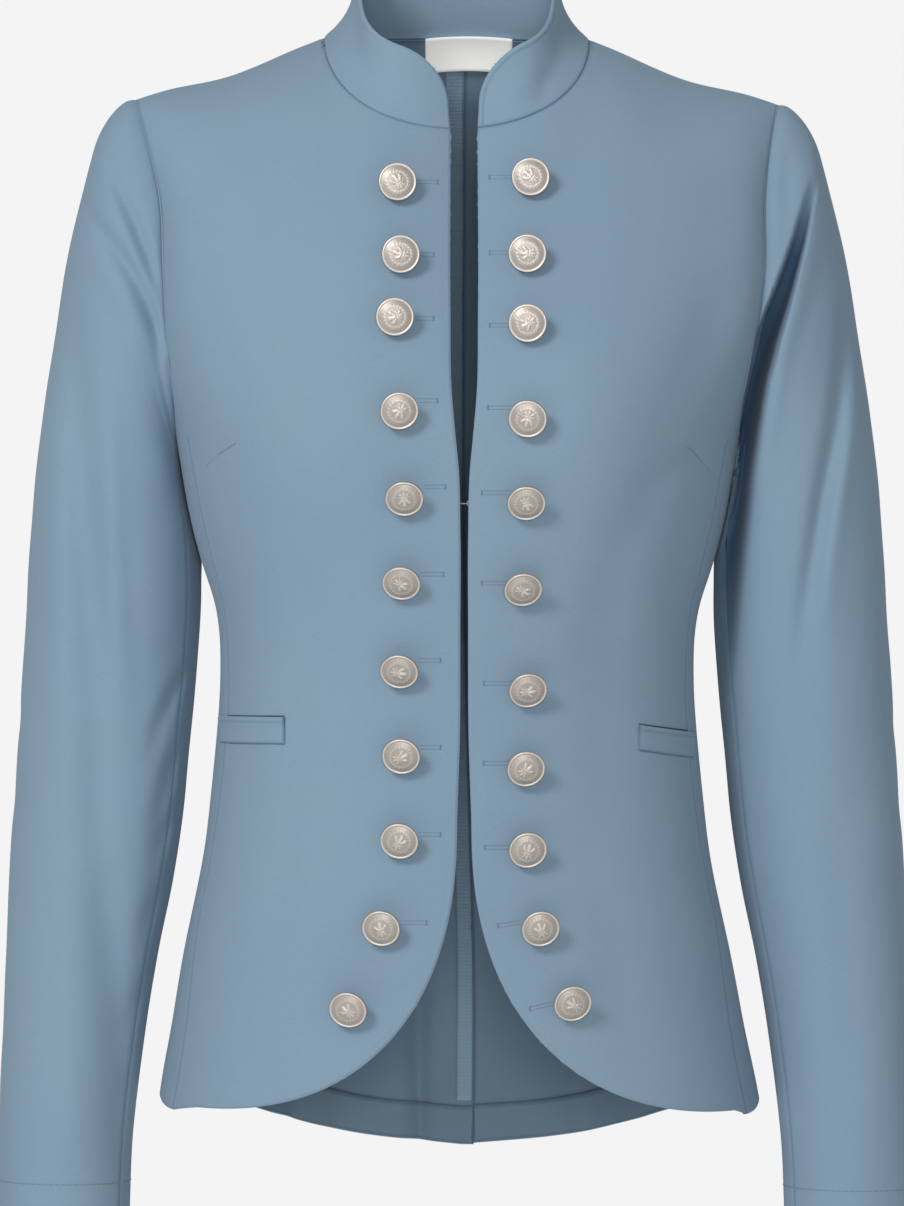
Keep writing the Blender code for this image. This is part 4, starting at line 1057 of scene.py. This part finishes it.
def plain_material(name, dark, light, rough, grain=900.0, glow=0.0):
    """A matt or satin finish with a fine grain in its colour and roughness, and a painted glow of
    its light colour where glow is given.
    """
    made = bpy.data.materials.new(name)
    made.use_nodes = True
    tree = made.node_tree
    shader = tree.nodes["Principled BSDF"]
    place = tree.nodes.new("ShaderNodeTexCoord").outputs["Object"]
    fine = noise(tree, place, grain, 3.0)
    tree.links.new(mixed(tree, "MIX", dark, light, fine), shader.inputs["Base Color"])
    roughness = ranged(tree, fine, 0.3, 0.7, rough - 0.06, rough + 0.06)
    tree.links.new(roughness, shader.inputs["Roughness"])
    tree.links.new(bump(tree, fine, 0.2, 0.1 * MM), shader.inputs["Normal"])
    if glow:
        shader.inputs["Emission Color"].default_value = light
        shader.inputs["Emission Strength"].default_value = glow
    return made


def metal_material():
    """Cast champagne-silver metal, with painted shade in the recesses of its relief and under its
    rim, and a painted highlight on its ornament's tops and on its rim.
    """
    made = plain_material("champagne silver", (0.56, 0.50, 0.44, 1), (0.68, 0.62, 0.56, 1), 0.48,
                          1500.0)
    tree = made.node_tree
    shader = tree.nodes["Principled BSDF"]
    shader.inputs["Metallic"].default_value = 0.6
    painted_relief_light = tree.nodes.new("ShaderNodeAttribute")
    painted_relief_light.attribute_name = "painted_relief_light"
    base = shader.inputs["Base Color"].links[0].from_socket
    edge = mixed(tree, "MULTIPLY", base, ranged(tree, painted_relief_light.outputs["Fac"], 0.2, 1.0, 0.62, 1.25))
    tree.links.new(edge, shader.inputs["Base Color"])
    return made


jersey = jersey_material("blue-grey jersey", (0.208, 0.292, 0.392, 1), (0.222, 0.328, 0.400, 1))
# the inside faces and the hem turn-up: the jersey's wrong side, its colour darkened as painted
# shade for the garment's inside
wrong_side_painted_dark = jersey_material("jersey wrong side painted darker", (0.170, 0.242, 0.320, 1),
                             (0.183, 0.265, 0.332, 1))
# the centre-back seam allowance: the jersey painted lighter, as painted light, with a coarser and
# deeper rib
inside = jersey_material("jersey seam allowance painted lighter", (0.240, 0.345, 0.450, 1),
                         (0.270, 0.385, 0.480, 1), 2.2 * MM, 9.0)
thread = plain_material("blue-grey thread", (0.14, 0.21, 0.28, 1), (0.19, 0.28, 0.36, 1), 0.7)
# near black: the finish of the painted shadow line in each pocket opening
shade = plain_material("painted pocket shadow", (0.035, 0.055, 0.08, 1), (0.05, 0.075, 0.10, 1), 0.9)
seam = plain_material("jersey seam", (0.185, 0.262, 0.345, 1), (0.205, 0.298, 0.375, 1), 0.85)
metal = metal_material()
# the label's satin glows faintly though it is no lamp: painted light
satin = plain_material("off-white satin", (0.82, 0.81, 0.78, 1), (0.90, 0.89, 0.86, 1), 0.5, 500.0,
                       0.32)


# ---------------------------------------------------------------- body, sleeves and collar
SEAM_SHADE = 0.5  # how much painted shade lies along a seam, as a share of a deep fold's
ARMHOLE_ROWS = 8  # rows of a sleeve beside its armhole, which have no painted seam shade


def sewn_panel(node, points, side, kinds, part):
    """A panel of the blazer on its net, with its folds and its edges worked, and painted shade in
    its deep folds and along its seams.
    """
    shaded = painted_fold_shade(points, part, side)
    folded = settled(pulled(creased(points, part, side), part, side), part, side)
    worked, seams, _ = finish_edges(folded, kinds)
    if part == "sleeve":
        seams[:, -ARMHOLE_ROWS:] = 0.0
    shaded = np.maximum(shaded, SEAM_SHADE * seams)
    nets[node] = worked
    return cloth_panel(f"{node}_cloth", worked, side, jersey, painted_shade=shaded, inner_faces_finish=wrong_side_painted_dark,
                       node=node)


def build_body():
    pieces = {}
    for hand, side in HANDS.items():
        front = body_face(relaxed(front_net(side)), side, -SHOULDER_OPEN / 2)
        middle = body_face(side_net(), side)
        back = body_face(back_net(side), side, SHOULDER_OPEN / 2)
        for name, points, kinds in (("front", front, (FOLDED, SEAM, FOLDED, SEAM)),
                                    ("side_panel", middle, (HEMMED, SEAM, SEAM, SEAM)),
                                    ("back", back, (HEMMED, SEAM, SEAM, SEAM))):
            node = f"{name}_{hand}"
            pieces[node] = sewn_panel(node, points, side, kinds, "body")
    return pieces


def build_sleeves():
    pieces = {}
    sections = sleeve_rows()
    half_gap = SLEEVE_OPEN / 2 / SLEEVE_RADIUS
    front_seam = math.radians(SLEEVE_SEAM_FRONT)
    back_seam = math.radians(SLEEVE_SEAM_BACK)
    upper = sleeve_turns(back_seam - 2 * math.pi + half_gap, front_seam - half_gap)
    under = sleeve_turns(front_seam + half_gap, back_seam - half_gap)
    for hand, side in HANDS.items():
        for name, turns in (("upper_sleeve", upper), ("under_sleeve", under)):
            node = f"{name}_{hand}"
            points = sleeve_point(*np.meshgrid(turns[::-1], sections[::-1], indexing="ij"))
            pieces[node] = sewn_panel(node, points, side, (HEMMED, SEAM, SEAM, SEAM), "sleeve")
    return pieces


def neck_ring(side):
    """Points of the neckline from a front corner round to the nape, on +X."""
    x, z = front_neckline(float(edge_gap_at(NECK_CORNER_Z)) + side * OPENING_SHIFT)
    front = locate(x, z)
    back = locate(*back_neckline(side), back=True)
    path = join(front, back)
    return torso(path[:, 0], path[:, 1])


def collar_strip(total):
    """The collar's flat net, with its rounded front ends: along the neckline, and up."""
    straight = COLLAR_HEIGHT - COLLAR_CORNER

    def end_edge(turns):
        along = COLLAR_CORNER * (1 - np.cos(turns))
        return np.stack([along, straight + COLLAR_CORNER * np.sin(turns)], axis=-1)

    middle = QUARTER / 2
    across = lines(total, COLLAR_NET_STEP)
    up = lines(COLLAR_HEIGHT, COLLAR_ROW_STEP)
    mirror, offset = np.array([-1.0, 1.0]), np.array([total, 0.0])
    low_end = end_edge(np.linspace(0.0, middle, SAMPLES))
    start = along_path(np.concatenate([[[0.0, 0.0]], low_end]), up)
    over = end_edge(np.linspace(middle, QUARTER, SAMPLES))
    top = along_path(np.concatenate([over, over[::-1] * mirror + offset]), across)
    bottom = along_path(np.array([[0.0, 0.0], [total, 0.0]]), across)
    return between(bottom, top, start, start * mirror + offset, across, up)


def build_collar():
    left = neck_ring(1)
    right = neck_ring(-1) * np.array([-1.0, 1.0, 1.0])
    ring = np.concatenate([left, right[::-1][1:]])
    length = walked(ring)
    strip = collar_strip(length[-1])
    along, share = strip[..., 0], np.clip(strip[..., 1] / COLLAR_HEIGHT, 0, 1)
    base, before, after = (at_length(along + step, length, ring)
                           for step in (0.0, -COLLAR_SPAN / 2, COLLAR_SPAN / 2))
    run = after - before
    out = np.stack([run[..., 1], -run[..., 0], np.zeros_like(along)], axis=-1)
    out /= np.linalg.norm(out, axis=-1, keepdims=True)
    lean = COLLAR_LEAN_FRONT + (COLLAR_LEAN_SIDE - COLLAR_LEAN_FRONT) * out[..., 0] ** 2
    inward = COLLAR_STEP_IN + lean * (1 - (1 - share) ** COLLAR_CURVE)
    points = base - out * inward[..., None]
    points[..., 2] += strip[..., 1] * COLLAR_UPRIGHT + COLLAR_STEP_UP
    worked, seams, pressed = finish_edges(creased(points, "collar", 1),
                                          (SEAM, FOLDED, FOLDED, FOLDED))
    # painted shade along its seam and pressed lines: full on the wearer's left, none on the right
    turned = ease(0.5 + worked[..., 0] / COLLAR_SHADE_FADE)
    shaded = turned * np.maximum(SEAM_SHADE * seams, COLLAR_PRESS_SHADE * pressed)
    return cloth_panel("collar_cloth", worked, 1, jersey, painted_shade=shaded, node="collar")


body = build_body()
sleeves = build_sleeves()
collar = build_collar()


# ---------------------------------------------------------------- sewing inside and out
ALLOWANCE = 8 * MM
ALLOWANCE_WALL = 0.7 * MM
HEM_TURN_UP = 22 * MM
TURN_UP_WALL = 0.8 * MM
TURN_UP_CLEAR = 0.1 * MM
CUFF_STITCH_HEIGHT = 25 * MM
CUFF_STITCH_STEP = 3.6 * MM
HEM_STITCH_STEP = 5.0 * MM
STITCH = 2.4 * MM
SEAM_RADIUS = 0.78 * MM
SEAM_SHIFT = 0.55 * MM  # beside the sleeve's head the seam lies half way to the body's edge
SEAM_SHIFT_TOP, SEAM_SHIFT_FOOT = -60, -192  # between these heights, easing in at both


def build_inside_strips():
    """The pressed-open allowance of the centre-back seam and the turned-up back hem."""
    strips = {}
    name = "centre_back_allowance"
    back = nets["back_right"]
    middle = back.shape[1] // 3
    count = int(np.searchsorted(walked(back[::-1, middle]), ALLOWANCE))
    strip = back[-count - 1:]
    share = (walked(strip[:, middle]) / ALLOWANCE)[:, None, None]
    strip = strip - facing(strip) * (WALL + (0.1 + 0.9 * (1 - share) ** 2) * MM)
    first = int(np.searchsorted(walked(strip[0]), HEM_TURN_UP)) + 1
    strips[name] = cloth_panel(name, strip[:, first:-3], -1, inside, ALLOWANCE_WALL)
    for hand, side in HANDS.items():
        name = f"hem_turn_up_{hand}"
        back = nets[f"back_{hand}"]
        count = int(np.searchsorted(walked(back[back.shape[0] // 2]), HEM_TURN_UP))
        turned = back[1:-1, 1:count + 1]
        turned = turned - facing(turned) * (WALL + TURN_UP_CLEAR)
        strips[name] = cloth_panel(name, turned, side, wrong_side_painted_dark, TURN_UP_WALL)
    return strips


def thread_piece(name, paths, radius, finish=None, closed=False):
    """Sewing thread along several paths, as one piece."""
    curve = bpy.data.curves.new(name, "CURVE")
    curve.dimensions = "3D"
    curve.bevel_depth = radius
    curve.bevel_resolution = 1
    curve.use_fill_caps = True
    for path in paths:
        spline = curve.splines.new("POLY")
        spline.points.add(len(path) - 1)
        for point, spot in zip(spline.points, path):
            point.co = (*spot, 1.0)
        spline.use_cyclic_u = closed
    return add_piece(name, curve, finish or thread)


def on_front(hand, places, lift=0.0):
    """The points of a front that are seen at places across and up, in millimetres."""
    path = []
    for out, up in places:
        spot, normal, _, _ = skins[f"front_{hand}_cloth"].ray_cast(
            Vector((out * MM, -1.0, up * MM)), Vector((0, 1, 0)))
        if spot is not None:
            path.append(spot + normal * lift)
    return path


# Each buttonhole: its end near the opening, its far end and its height.
BUTTONHOLES = {
    "right": table("near far up rise", [
        (-11.3, -25.3, -89.6, 0), (-13.5, -22.0, -131.8, 0), (-13.5, -26.5, -168.5, 0),
        (-11.3, -23.7, -215.2, 0), (-6.8, -18.0, -263.7, 0), (-7.9, -20.8, -312.7, 0),
        (-9.6, -22.0, -361.1, 0), (-9.6, -22.0, -410.1, 0), (-9.6, -22.0, -459.1, 0),
        (-17.5, -32.1, -508.7, 0),
    ]),
    "left": table("near far up rise", [
        (18.6, 31.0, -86.8, 0), (18.6, 29.9, -130.7, 0), (18.6, 31.0, -172.4, 0),
        (17.5, 35.5, -219.2, 0), (14.1, 31.0, -267.0, 0), (14.1, 28.7, -317.7, 0),
        (15.2, 31.0, -374.1, 0), (15.2, 31.0, -419.1, 0), (15.8, 29.9, -466.4, 0),
        (23.1, 35.5, -510.4, 2), (41.1, 54.1, -557.1, 3),
    ]),
}
# The two bust darts, from the side seam in.
DARTS = {
    "right": [(-150.5, -257.5), (-143, -251), (-134.8, -243.9), (-129, -240.4), (-125.3, -238.3)],
    "left": [(150.5, -261), (144, -253.5), (137.2, -246), (133, -242), (130.5, -240.5)],
}


WELTS = table("side inner_x outer_x inner_z outer_z height", [
    (-1, 97.6, 136.2, -402, -402.5, 15.5), (1, 103, 136.4, -404.5, -409.5, 14.5),
])


def build_stitching():
    """Buttonholes, a painted shadow line in each pocket opening, and bust darts."""
    for hand, holes in BUTTONHOLES.items():
        paths = []
        for hole in holes:
            run = hole.far - hole.near
            for drop in (-1.0, 1.0):
                paths.append(on_front(hand, [
                    (hole.near + run * t, hole.up + hole.rise * t + drop)
                    for t in np.linspace(0, 1, 8)], -0.05 * MM))
            for step in (0.0, 0.5):
                end = hole.near - math.copysign(step, hole.near)
                paths.append(on_front(hand, [(end, hole.up + t) for t in (-1.4, -0.5, 0.5, 1.4)],
                                      0.05 * MM))
        thread_piece(f"buttonholes_{hand}", paths, 0.24 * MM)
    for welt in WELTS:
        hand = "left" if welt.side > 0 else "right"
        middle = welt.inner_z + welt.height / 2 + 0.4 - HANG_TILT * welt.side * welt.inner_x
        lip = [(welt.side * (welt.inner_x + (welt.outer_x - welt.inner_x) * t),
                middle + (welt.outer_z - welt.inner_z) * t) for t in np.linspace(0.01, 0.99, 16)]
        # a dark cord along the top of each welt stands for the shadow in the pocket opening:
        # painted shadow
        thread_piece(f"pocket_shadow_line_{hand}", [on_front(hand, lip)], 0.5 * MM, shade)
    for hand, line in DARTS.items():
        thread_piece(f"dart_stitching_{hand}", [on_front(hand, line)], 0.3 * MM)


def blind_stitches(points, side, height, spacing, lift):
    """A row of small stitches at a height above a net's lower edge."""
    row = np.array([at_length(height, walked(column), column) for column in points])
    normal = facing(points)[:, 4]
    length = walked(row)
    paths = []
    for start in np.arange(3 * MM, length[-1] - 4 * MM, spacing):
        wanted = np.linspace(start, start + STITCH, 3)
        out = at_length(wanted, length, normal)
        paths.append(worn(at_length(wanted, length, row) + out * lift, side))
    return paths


def build_armhole_seams():
    """The seam that lies in each armhole, between the sleeve's head and the body."""
    for hand, side in HANDS.items():
        ring = np.concatenate([nets[f"{part}_sleeve_{hand}"][:, -1] for part in ("upper", "under")])
        height = ring[:, 2] / MM
        above, below = (SEAM_SHIFT_TOP - height) / 35, (height - SEAM_SHIFT_FOOT) / 20
        ring[:, 0] -= SEAM_SHIFT * ease(above) * ease(below)
        thread_piece(f"armhole_seam_{hand}", [worn(ring, side)], SEAM_RADIUS, seam, closed=True)


def build_hem_stitching():
    for hand, side in HANDS.items():
        paths = []
        for part in ("upper", "under"):
            paths += blind_stitches(nets[f"{part}_sleeve_{hand}"], side, CUFF_STITCH_HEIGHT,
                                    CUFF_STITCH_STEP, 0.05 * MM)
        thread_piece(f"cuff_stitching_{hand}", paths, 0.28 * MM)
        inner = blind_stitches(nets[f"back_{hand}"], side, HEM_TURN_UP - 1.5 * MM,
                               HEM_STITCH_STEP, -(WALL + 0.95 * MM))
        thread_piece(f"hem_stitching_{hand}", inner, 0.25 * MM)


# ---------------------------------------------------------------- welts and label
WELT_STEP = 2.5 * MM
WELT_ROW_STEP = 1.5 * MM
WELT_WALL = 1.2 * MM
# how much painted shade lies along the welt's seams and along its pressed top line
WELT_SEAM_SHADE = 0.75
WELT_PRESS_SHADE = 0.3
LABEL_SIZE = (51 * MM, 20.6 * MM)
LABEL_SHIFT = 7 * MM
LABEL_TOP = 6.2 * MM
LABEL_WALL = 0.5 * MM


def build_welts():
    pieces = {}
    for welt in WELTS:
        u = lines((welt.outer_x - welt.inner_x) * MM, WELT_STEP)[:, None]
        v = lines(welt.height * MM, WELT_ROW_STEP)[None, :]
        x = (welt.inner_x + (welt.outer_x - welt.inner_x) * u + 0 * v) * MM
        z = (welt.inner_z + (welt.outer_z - welt.inner_z) * u + welt.height * (v - 0.5)) * MM
        place = locate(x.ravel(), z.ravel())
        points = body_face(place, welt.side, -SHOULDER_OPEN / 2)
        stand = (0.7 + 1.3 * ease((v - 0.5) / 0.45) + 0.3 * np.sin(v * math.pi) + 0 * u).ravel()
        points += outward(place[:, 0], place[:, 1]) * (stand * MM)[:, None]
        points, seams, pressed = finish_edges(points.reshape(x.shape + (3,)),
                                              (SEAM, FOLDED, SEAM, SEAM))
        hand = "left" if welt.side > 0 else "right"
        # painted shade along the welt's seams and its pressed top line
        shaded = np.maximum(WELT_SEAM_SHADE * seams, WELT_PRESS_SHADE * pressed)
        node = f"pocket_welt_{hand}"
        pieces[hand] = cloth_panel(f"{node}_cloth", points, welt.side, jersey, WELT_WALL,
                                   painted_shade=shaded, node=node)
    return pieces


def build_label():
    width, height = LABEL_SIZE
    u = np.linspace(-0.5, 0.5, 31)[:, None]
    v = np.linspace(0.0, 1.0, 13)[None, :]
    bow = 1 - (2 * u) ** 2
    x = (LABEL_SHIFT + width * u + 0 * v).ravel()
    z = (LABEL_TOP - 0.6 * MM - height * (1 - v) + (2.6 - v) * MM * bow).ravel()
    place = locate(np.abs(x), z, back=True)
    points = body_face(place, 1, SHOULDER_OPEN / 2)
    stand = 0.6 + 1.4 * v**2 + (1.8 * (1 - v) ** 2) * bow + 0.5 * (1 - v) ** 2
    points -= outward(place[:, 0], place[:, 1]) * (WALL + LABEL_WALL + stand.ravel() * MM)[:, None]
    points[:, 0] = x
    points = points.reshape(u.size, v.size, 3)[::-1]
    return cloth_panel("neck_label_satin", points, 1, satin, LABEL_WALL, node="neck_label",
                       slot="label_satin")


# ---------------------------------------------------------------- buttons
BUTTON_ROWS = table("row right_x right_z left_x left_z", [
    (1, -34.5, -91, 42, -87.5), (2, -32.5, -133, 40, -132), (3, -35.5, -169, 40, -172),
    (4, -33, -222.5, 40, -226.5), (5, -29.5, -272, 38.5, -274), (6, -30.5, -319.5, 36, -322.5),
    (7, -31.5, -369, 38.5, -379), (8, -30.5, -416.5, 37.5, -423), (9, -31.5, -464, 38.5, -468.5),
    (10, -41.5, -513, 45.5, -512.5), (11, -59.5, -559, 63, -554.5),
])
BUTTON_DROOP = math.radians(25)
BUTTON_CLEAR = 1.3 * MM
BUTTON_REACH = 10.9 * MM
CAD_SHOULDER_OPEN = 1.5 * MM
# Outline of a button from the middle of its domed face, over its rim, to the foot of its shank.
BUTTON_PROFILE = table("radius height", [
    (0, 10.5), (0.4, 10.5), (0.8, 10.49), (1.2, 10.47), (1.6, 10.45), (2.0, 10.42), (2.4, 10.39),
    (2.8, 10.36), (3.2, 10.32), (3.6, 10.27), (4.0, 10.22), (4.4, 10.17), (4.8, 10.10),
    (5.2, 10.03), (5.6, 9.96), (6.0, 9.87), (6.5, 9.75), (7.1, 9.6), (7.8, 9.36), (8.5, 9.08),
    (9.1, 8.78), (9.4, 8.66), (9.62, 8.86), (9.95, 9.05), (10.35, 9.0), (10.7, 8.65), (10.85, 8.1),
    (10.8, 7.4), (10.3, 6.7), (9.2, 6.2), (6.5, 5.8), (2.6, 5.4), (2.3, 3.0), (2.2, 0), (0, 0),
])
BUTTON_STEPS = 72
DOME_RADIUS = 9.2
WREATH_RADIUS = 6.3
WREATH_LEAVES = 20
RIM_FOOT = 8.6 * MM
# The cast ornament: leaves standing on the dome, each with its middle, half sizes and turn.
ORNAMENT_SIZE = 1.35
BUTTON_LEAVES = table("x y half_width half_length turn rise", [
    (0, 1.2, 0.75, 2.0, 0, 0.34), (1.6, 0.7, 0.6, 1.5, -38, 0.28), (-1.6, 0.7, 0.6, 1.5, 38, 0.28),
    (0, -1.2, 1.9, 0.35, 0, 0.26), (0, -2.6, 0.5, 1.0, 0, 0.26), (1.3, -2.3, 0.4, 0.9, 48, 0.2),
    (-1.3, -2.3, 0.4, 0.9, -48, 0.2),
])


def button_relief(x, y):
    """Height of the ornament: a bunch of leaves in a wreath, on a finely pitted ground."""
    radius = math.hypot(x, y)
    turn = math.atan2(y, x)
    x, y = x / ORNAMENT_SIZE, y / ORNAMENT_SIZE
    height = 0.0
    for leaf in BUTTON_LEAVES:
        bend = math.radians(leaf.turn)
        dx, dy = x - leaf.x, y - leaf.y
        across = (dx * math.cos(bend) + dy * math.sin(bend)) / leaf.half_width
        along = (dy * math.cos(bend) - dx * math.sin(bend)) / leaf.half_length
        height = max(height, leaf.rise * math.exp(-(across**4) - along**4))
    outside = radius - WREATH_RADIUS
    wreath = math.exp(-((outside / 0.8) ** 4))
    height += 0.22 * wreath * (0.5 + 0.5 * math.cos(WREATH_LEAVES * turn + 2.2 * outside))
    pits = math.sin(x * 5.1 + math.sin(y * 2.3)) * math.sin(y * 5.7 + math.sin(x * 3.1))
    return 1.4 * height + 0.12 * pits * math.exp(-((radius / 7.2) ** 6))


def button_mesh():
    """One button about its shank's foot, with its ornament standing up on the dome."""
    solid = bmesh.new()
    verts = [solid.verts.new((p.radius * MM, 0.0, p.height * MM)) for p in BUTTON_PROFILE]
    edges = [solid.edges.new(pair) for pair in zip(verts, verts[1:])]
    bmesh.ops.spin(solid, geom=verts + edges, cent=(0, 0, 0), axis=(0, 0, 1), dvec=(0, 0, 0),
                   angle=2 * math.pi, steps=BUTTON_STEPS, use_merge=True)
    bmesh.ops.remove_doubles(solid, verts=solid.verts, dist=0.00002)
    bmesh.ops.recalc_face_normals(solid, faces=solid.faces)
    # painted light and shade for the metal's colour: high on the ornament's tops and the rim, low
    # on the dome's ground, under the rim and on the shank
    painted_relief_light = solid.verts.layers.float.new("painted_relief_light")
    for vert in solid.verts:
        radius = math.hypot(vert.co.x, vert.co.y) / MM
        if vert.co.z > RIM_FOOT and radius < DOME_RADIUS:
            height = button_relief(vert.co.x / MM, vert.co.y / MM)
            vert[painted_relief_light] = 0.4 + 1.3 * height
            vert.co.z += height * MM
        else:
            vert[painted_relief_light] = 1.0 if vert.co.z > 8.8 * MM else 0.25
    mesh = bpy.data.meshes.new("button")
    solid.to_mesh(mesh)
    solid.free()
    return mesh


def button_place(x, z):
    """Where a button's shank is sewn, and the way that its drooping face looks."""
    side = math.copysign(1.0, x)
    sewn_z = z
    for _ in range(3):
        place = locate(abs(x), sewn_z)
        normal = Vector(outward(place[:, 0], place[:, 1])[0])
        normal.x *= side
        down = Vector((0, 0, -1))
        down = (down - normal * down.dot(normal)).normalized()
        face = normal * math.cos(BUTTON_DROOP) + down * math.sin(BUTTON_DROOP)
        sewn_z = z - BUTTON_REACH * face.z
    point = Vector(torso(place[:, 0], place[:, 1])[0])
    point.x *= side
    point.y -= CAD_SHOULDER_OPEN / 2
    point = Vector(hang(np.array(point)))
    turn = face.to_track_quat("Z", "Y").to_matrix().to_4x4()
    return Matrix.Translation(point + normal * BUTTON_CLEAR) @ turn


def build_buttons():
    pattern = button_mesh()
    for row in BUTTON_ROWS:
        for hand, x, z in (("right", row.right_x, row.right_z), ("left", row.left_x, row.left_z)):
            mesh = pattern.copy()
            spin = math.radians(row.row * 37 + (15 if hand == "left" else 0))
            mesh.transform(button_place(x * MM, z * MM) @ Matrix.Rotation(spin, 4, "Z"))
            node = f"button_{hand}_{row.row:02d}"
            add_piece(f"{node}_cast", mesh, metal, node, "button_metal")


strips = build_inside_strips()
build_stitching()
build_hem_stitching()
build_armhole_seams()
welts = build_welts()
label = build_label()
build_buttons()

# ---------------------------------------------------------------- the rest of the part
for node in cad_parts:
    thing = bpy.data.objects.get(node)
    if thing is None or thing.type != "MESH":
        continue
    finish = {"button": metal, "waist": metal, "neck": satin}.get(node.split("_")[0], jersey)
    if not thing.material_slots:
        thing.data.materials.append(finish)
    for place in thing.material_slots:
        place.material = finish

# ---------------------------------------------------------------- studio
FLOOR_Z = -1.42
AIM = (0, 0, -0.35)
CAMERA_AWAY = 4.0
CAMERA_SENSOR = 36
PHOTO_HEIGHT = 1206  # pixels
PIXEL = 0.00058

floor_mesh = bmesh.new()
bmesh.ops.create_grid(floor_mesh, x_segments=1, y_segments=1, size=6.0)
bmesh.ops.translate(floor_mesh, vec=(0, 0, FLOOR_Z), verts=floor_mesh.verts)
floor_data = bpy.data.meshes.new("studio_floor")
floor_mesh.to_mesh(floor_data)
floor_mesh.free()
floor = bpy.data.objects.new("studio_floor", floor_data)
floor_data.materials.append(
    plain_material("pale floor", (0.86, 0.86, 0.86, 1), (0.90, 0.90, 0.90, 1), 0.7, 30.0))
bpy.context.scene.collection.objects.link(floor)


def area_light(name, place, size, power):
    lamp = bpy.data.lights.new(name, "AREA")
    lamp.shape = "DISK"
    lamp.size = size
    lamp.energy = power
    thing = bpy.data.objects.new(name, lamp)
    thing.location = place
    thing.rotation_euler = (Vector(AIM) - Vector(place)).to_track_quat("-Z", "Y").to_euler()
    bpy.context.scene.collection.objects.link(thing)


area_light("key", (-1.7, -2.7, 1.5), 1.2, 61)
area_light("fill", (2.4, -2.6, 0.3), 2.2, 3)
area_light("front", (0.1, -4.3, 0.0), 0.8, 44)

world = bpy.data.worlds.new("pale studio")
world.use_nodes = True
sky_nodes, sky_links = world.node_tree.nodes, world.node_tree.links
backdrop = sky_nodes["Background"]
backdrop.inputs["Color"].default_value = (0.905, 0.905, 0.905, 1)
ambient = sky_nodes.new("ShaderNodeBackground")
ambient.inputs["Color"].default_value = (0.93, 0.96, 1.0, 1)
ambient.inputs["Strength"].default_value = 0.36
seen_by = sky_nodes.new("ShaderNodeLightPath")
either = sky_nodes.new("ShaderNodeMixShader")
sky_links.new(seen_by.outputs["Is Camera Ray"], either.inputs["Fac"])
sky_links.new(ambient.outputs["Background"], either.inputs[1])
sky_links.new(backdrop.outputs["Background"], either.inputs[2])
sky_links.new(either.outputs["Shader"], sky_nodes["World Output"].inputs["Surface"])
bpy.context.scene.world = world

camera_data = bpy.data.cameras.new("photo view")
camera_data.sensor_fit = "VERTICAL"
camera_data.sensor_height = CAMERA_SENSOR
camera_data.lens = CAMERA_SENSOR * CAMERA_AWAY / (PHOTO_HEIGHT * PIXEL)
camera = bpy.data.objects.new("photo view", camera_data)
camera.location = (-0.0029, -CAMERA_AWAY, -0.3289)
camera.rotation_euler = (QUARTER, 0, 0)
bpy.context.scene.collection.objects.link(camera)
bpy.context.scene.camera = camera
bpy.context.scene.view_settings.view_transform = "Standard"
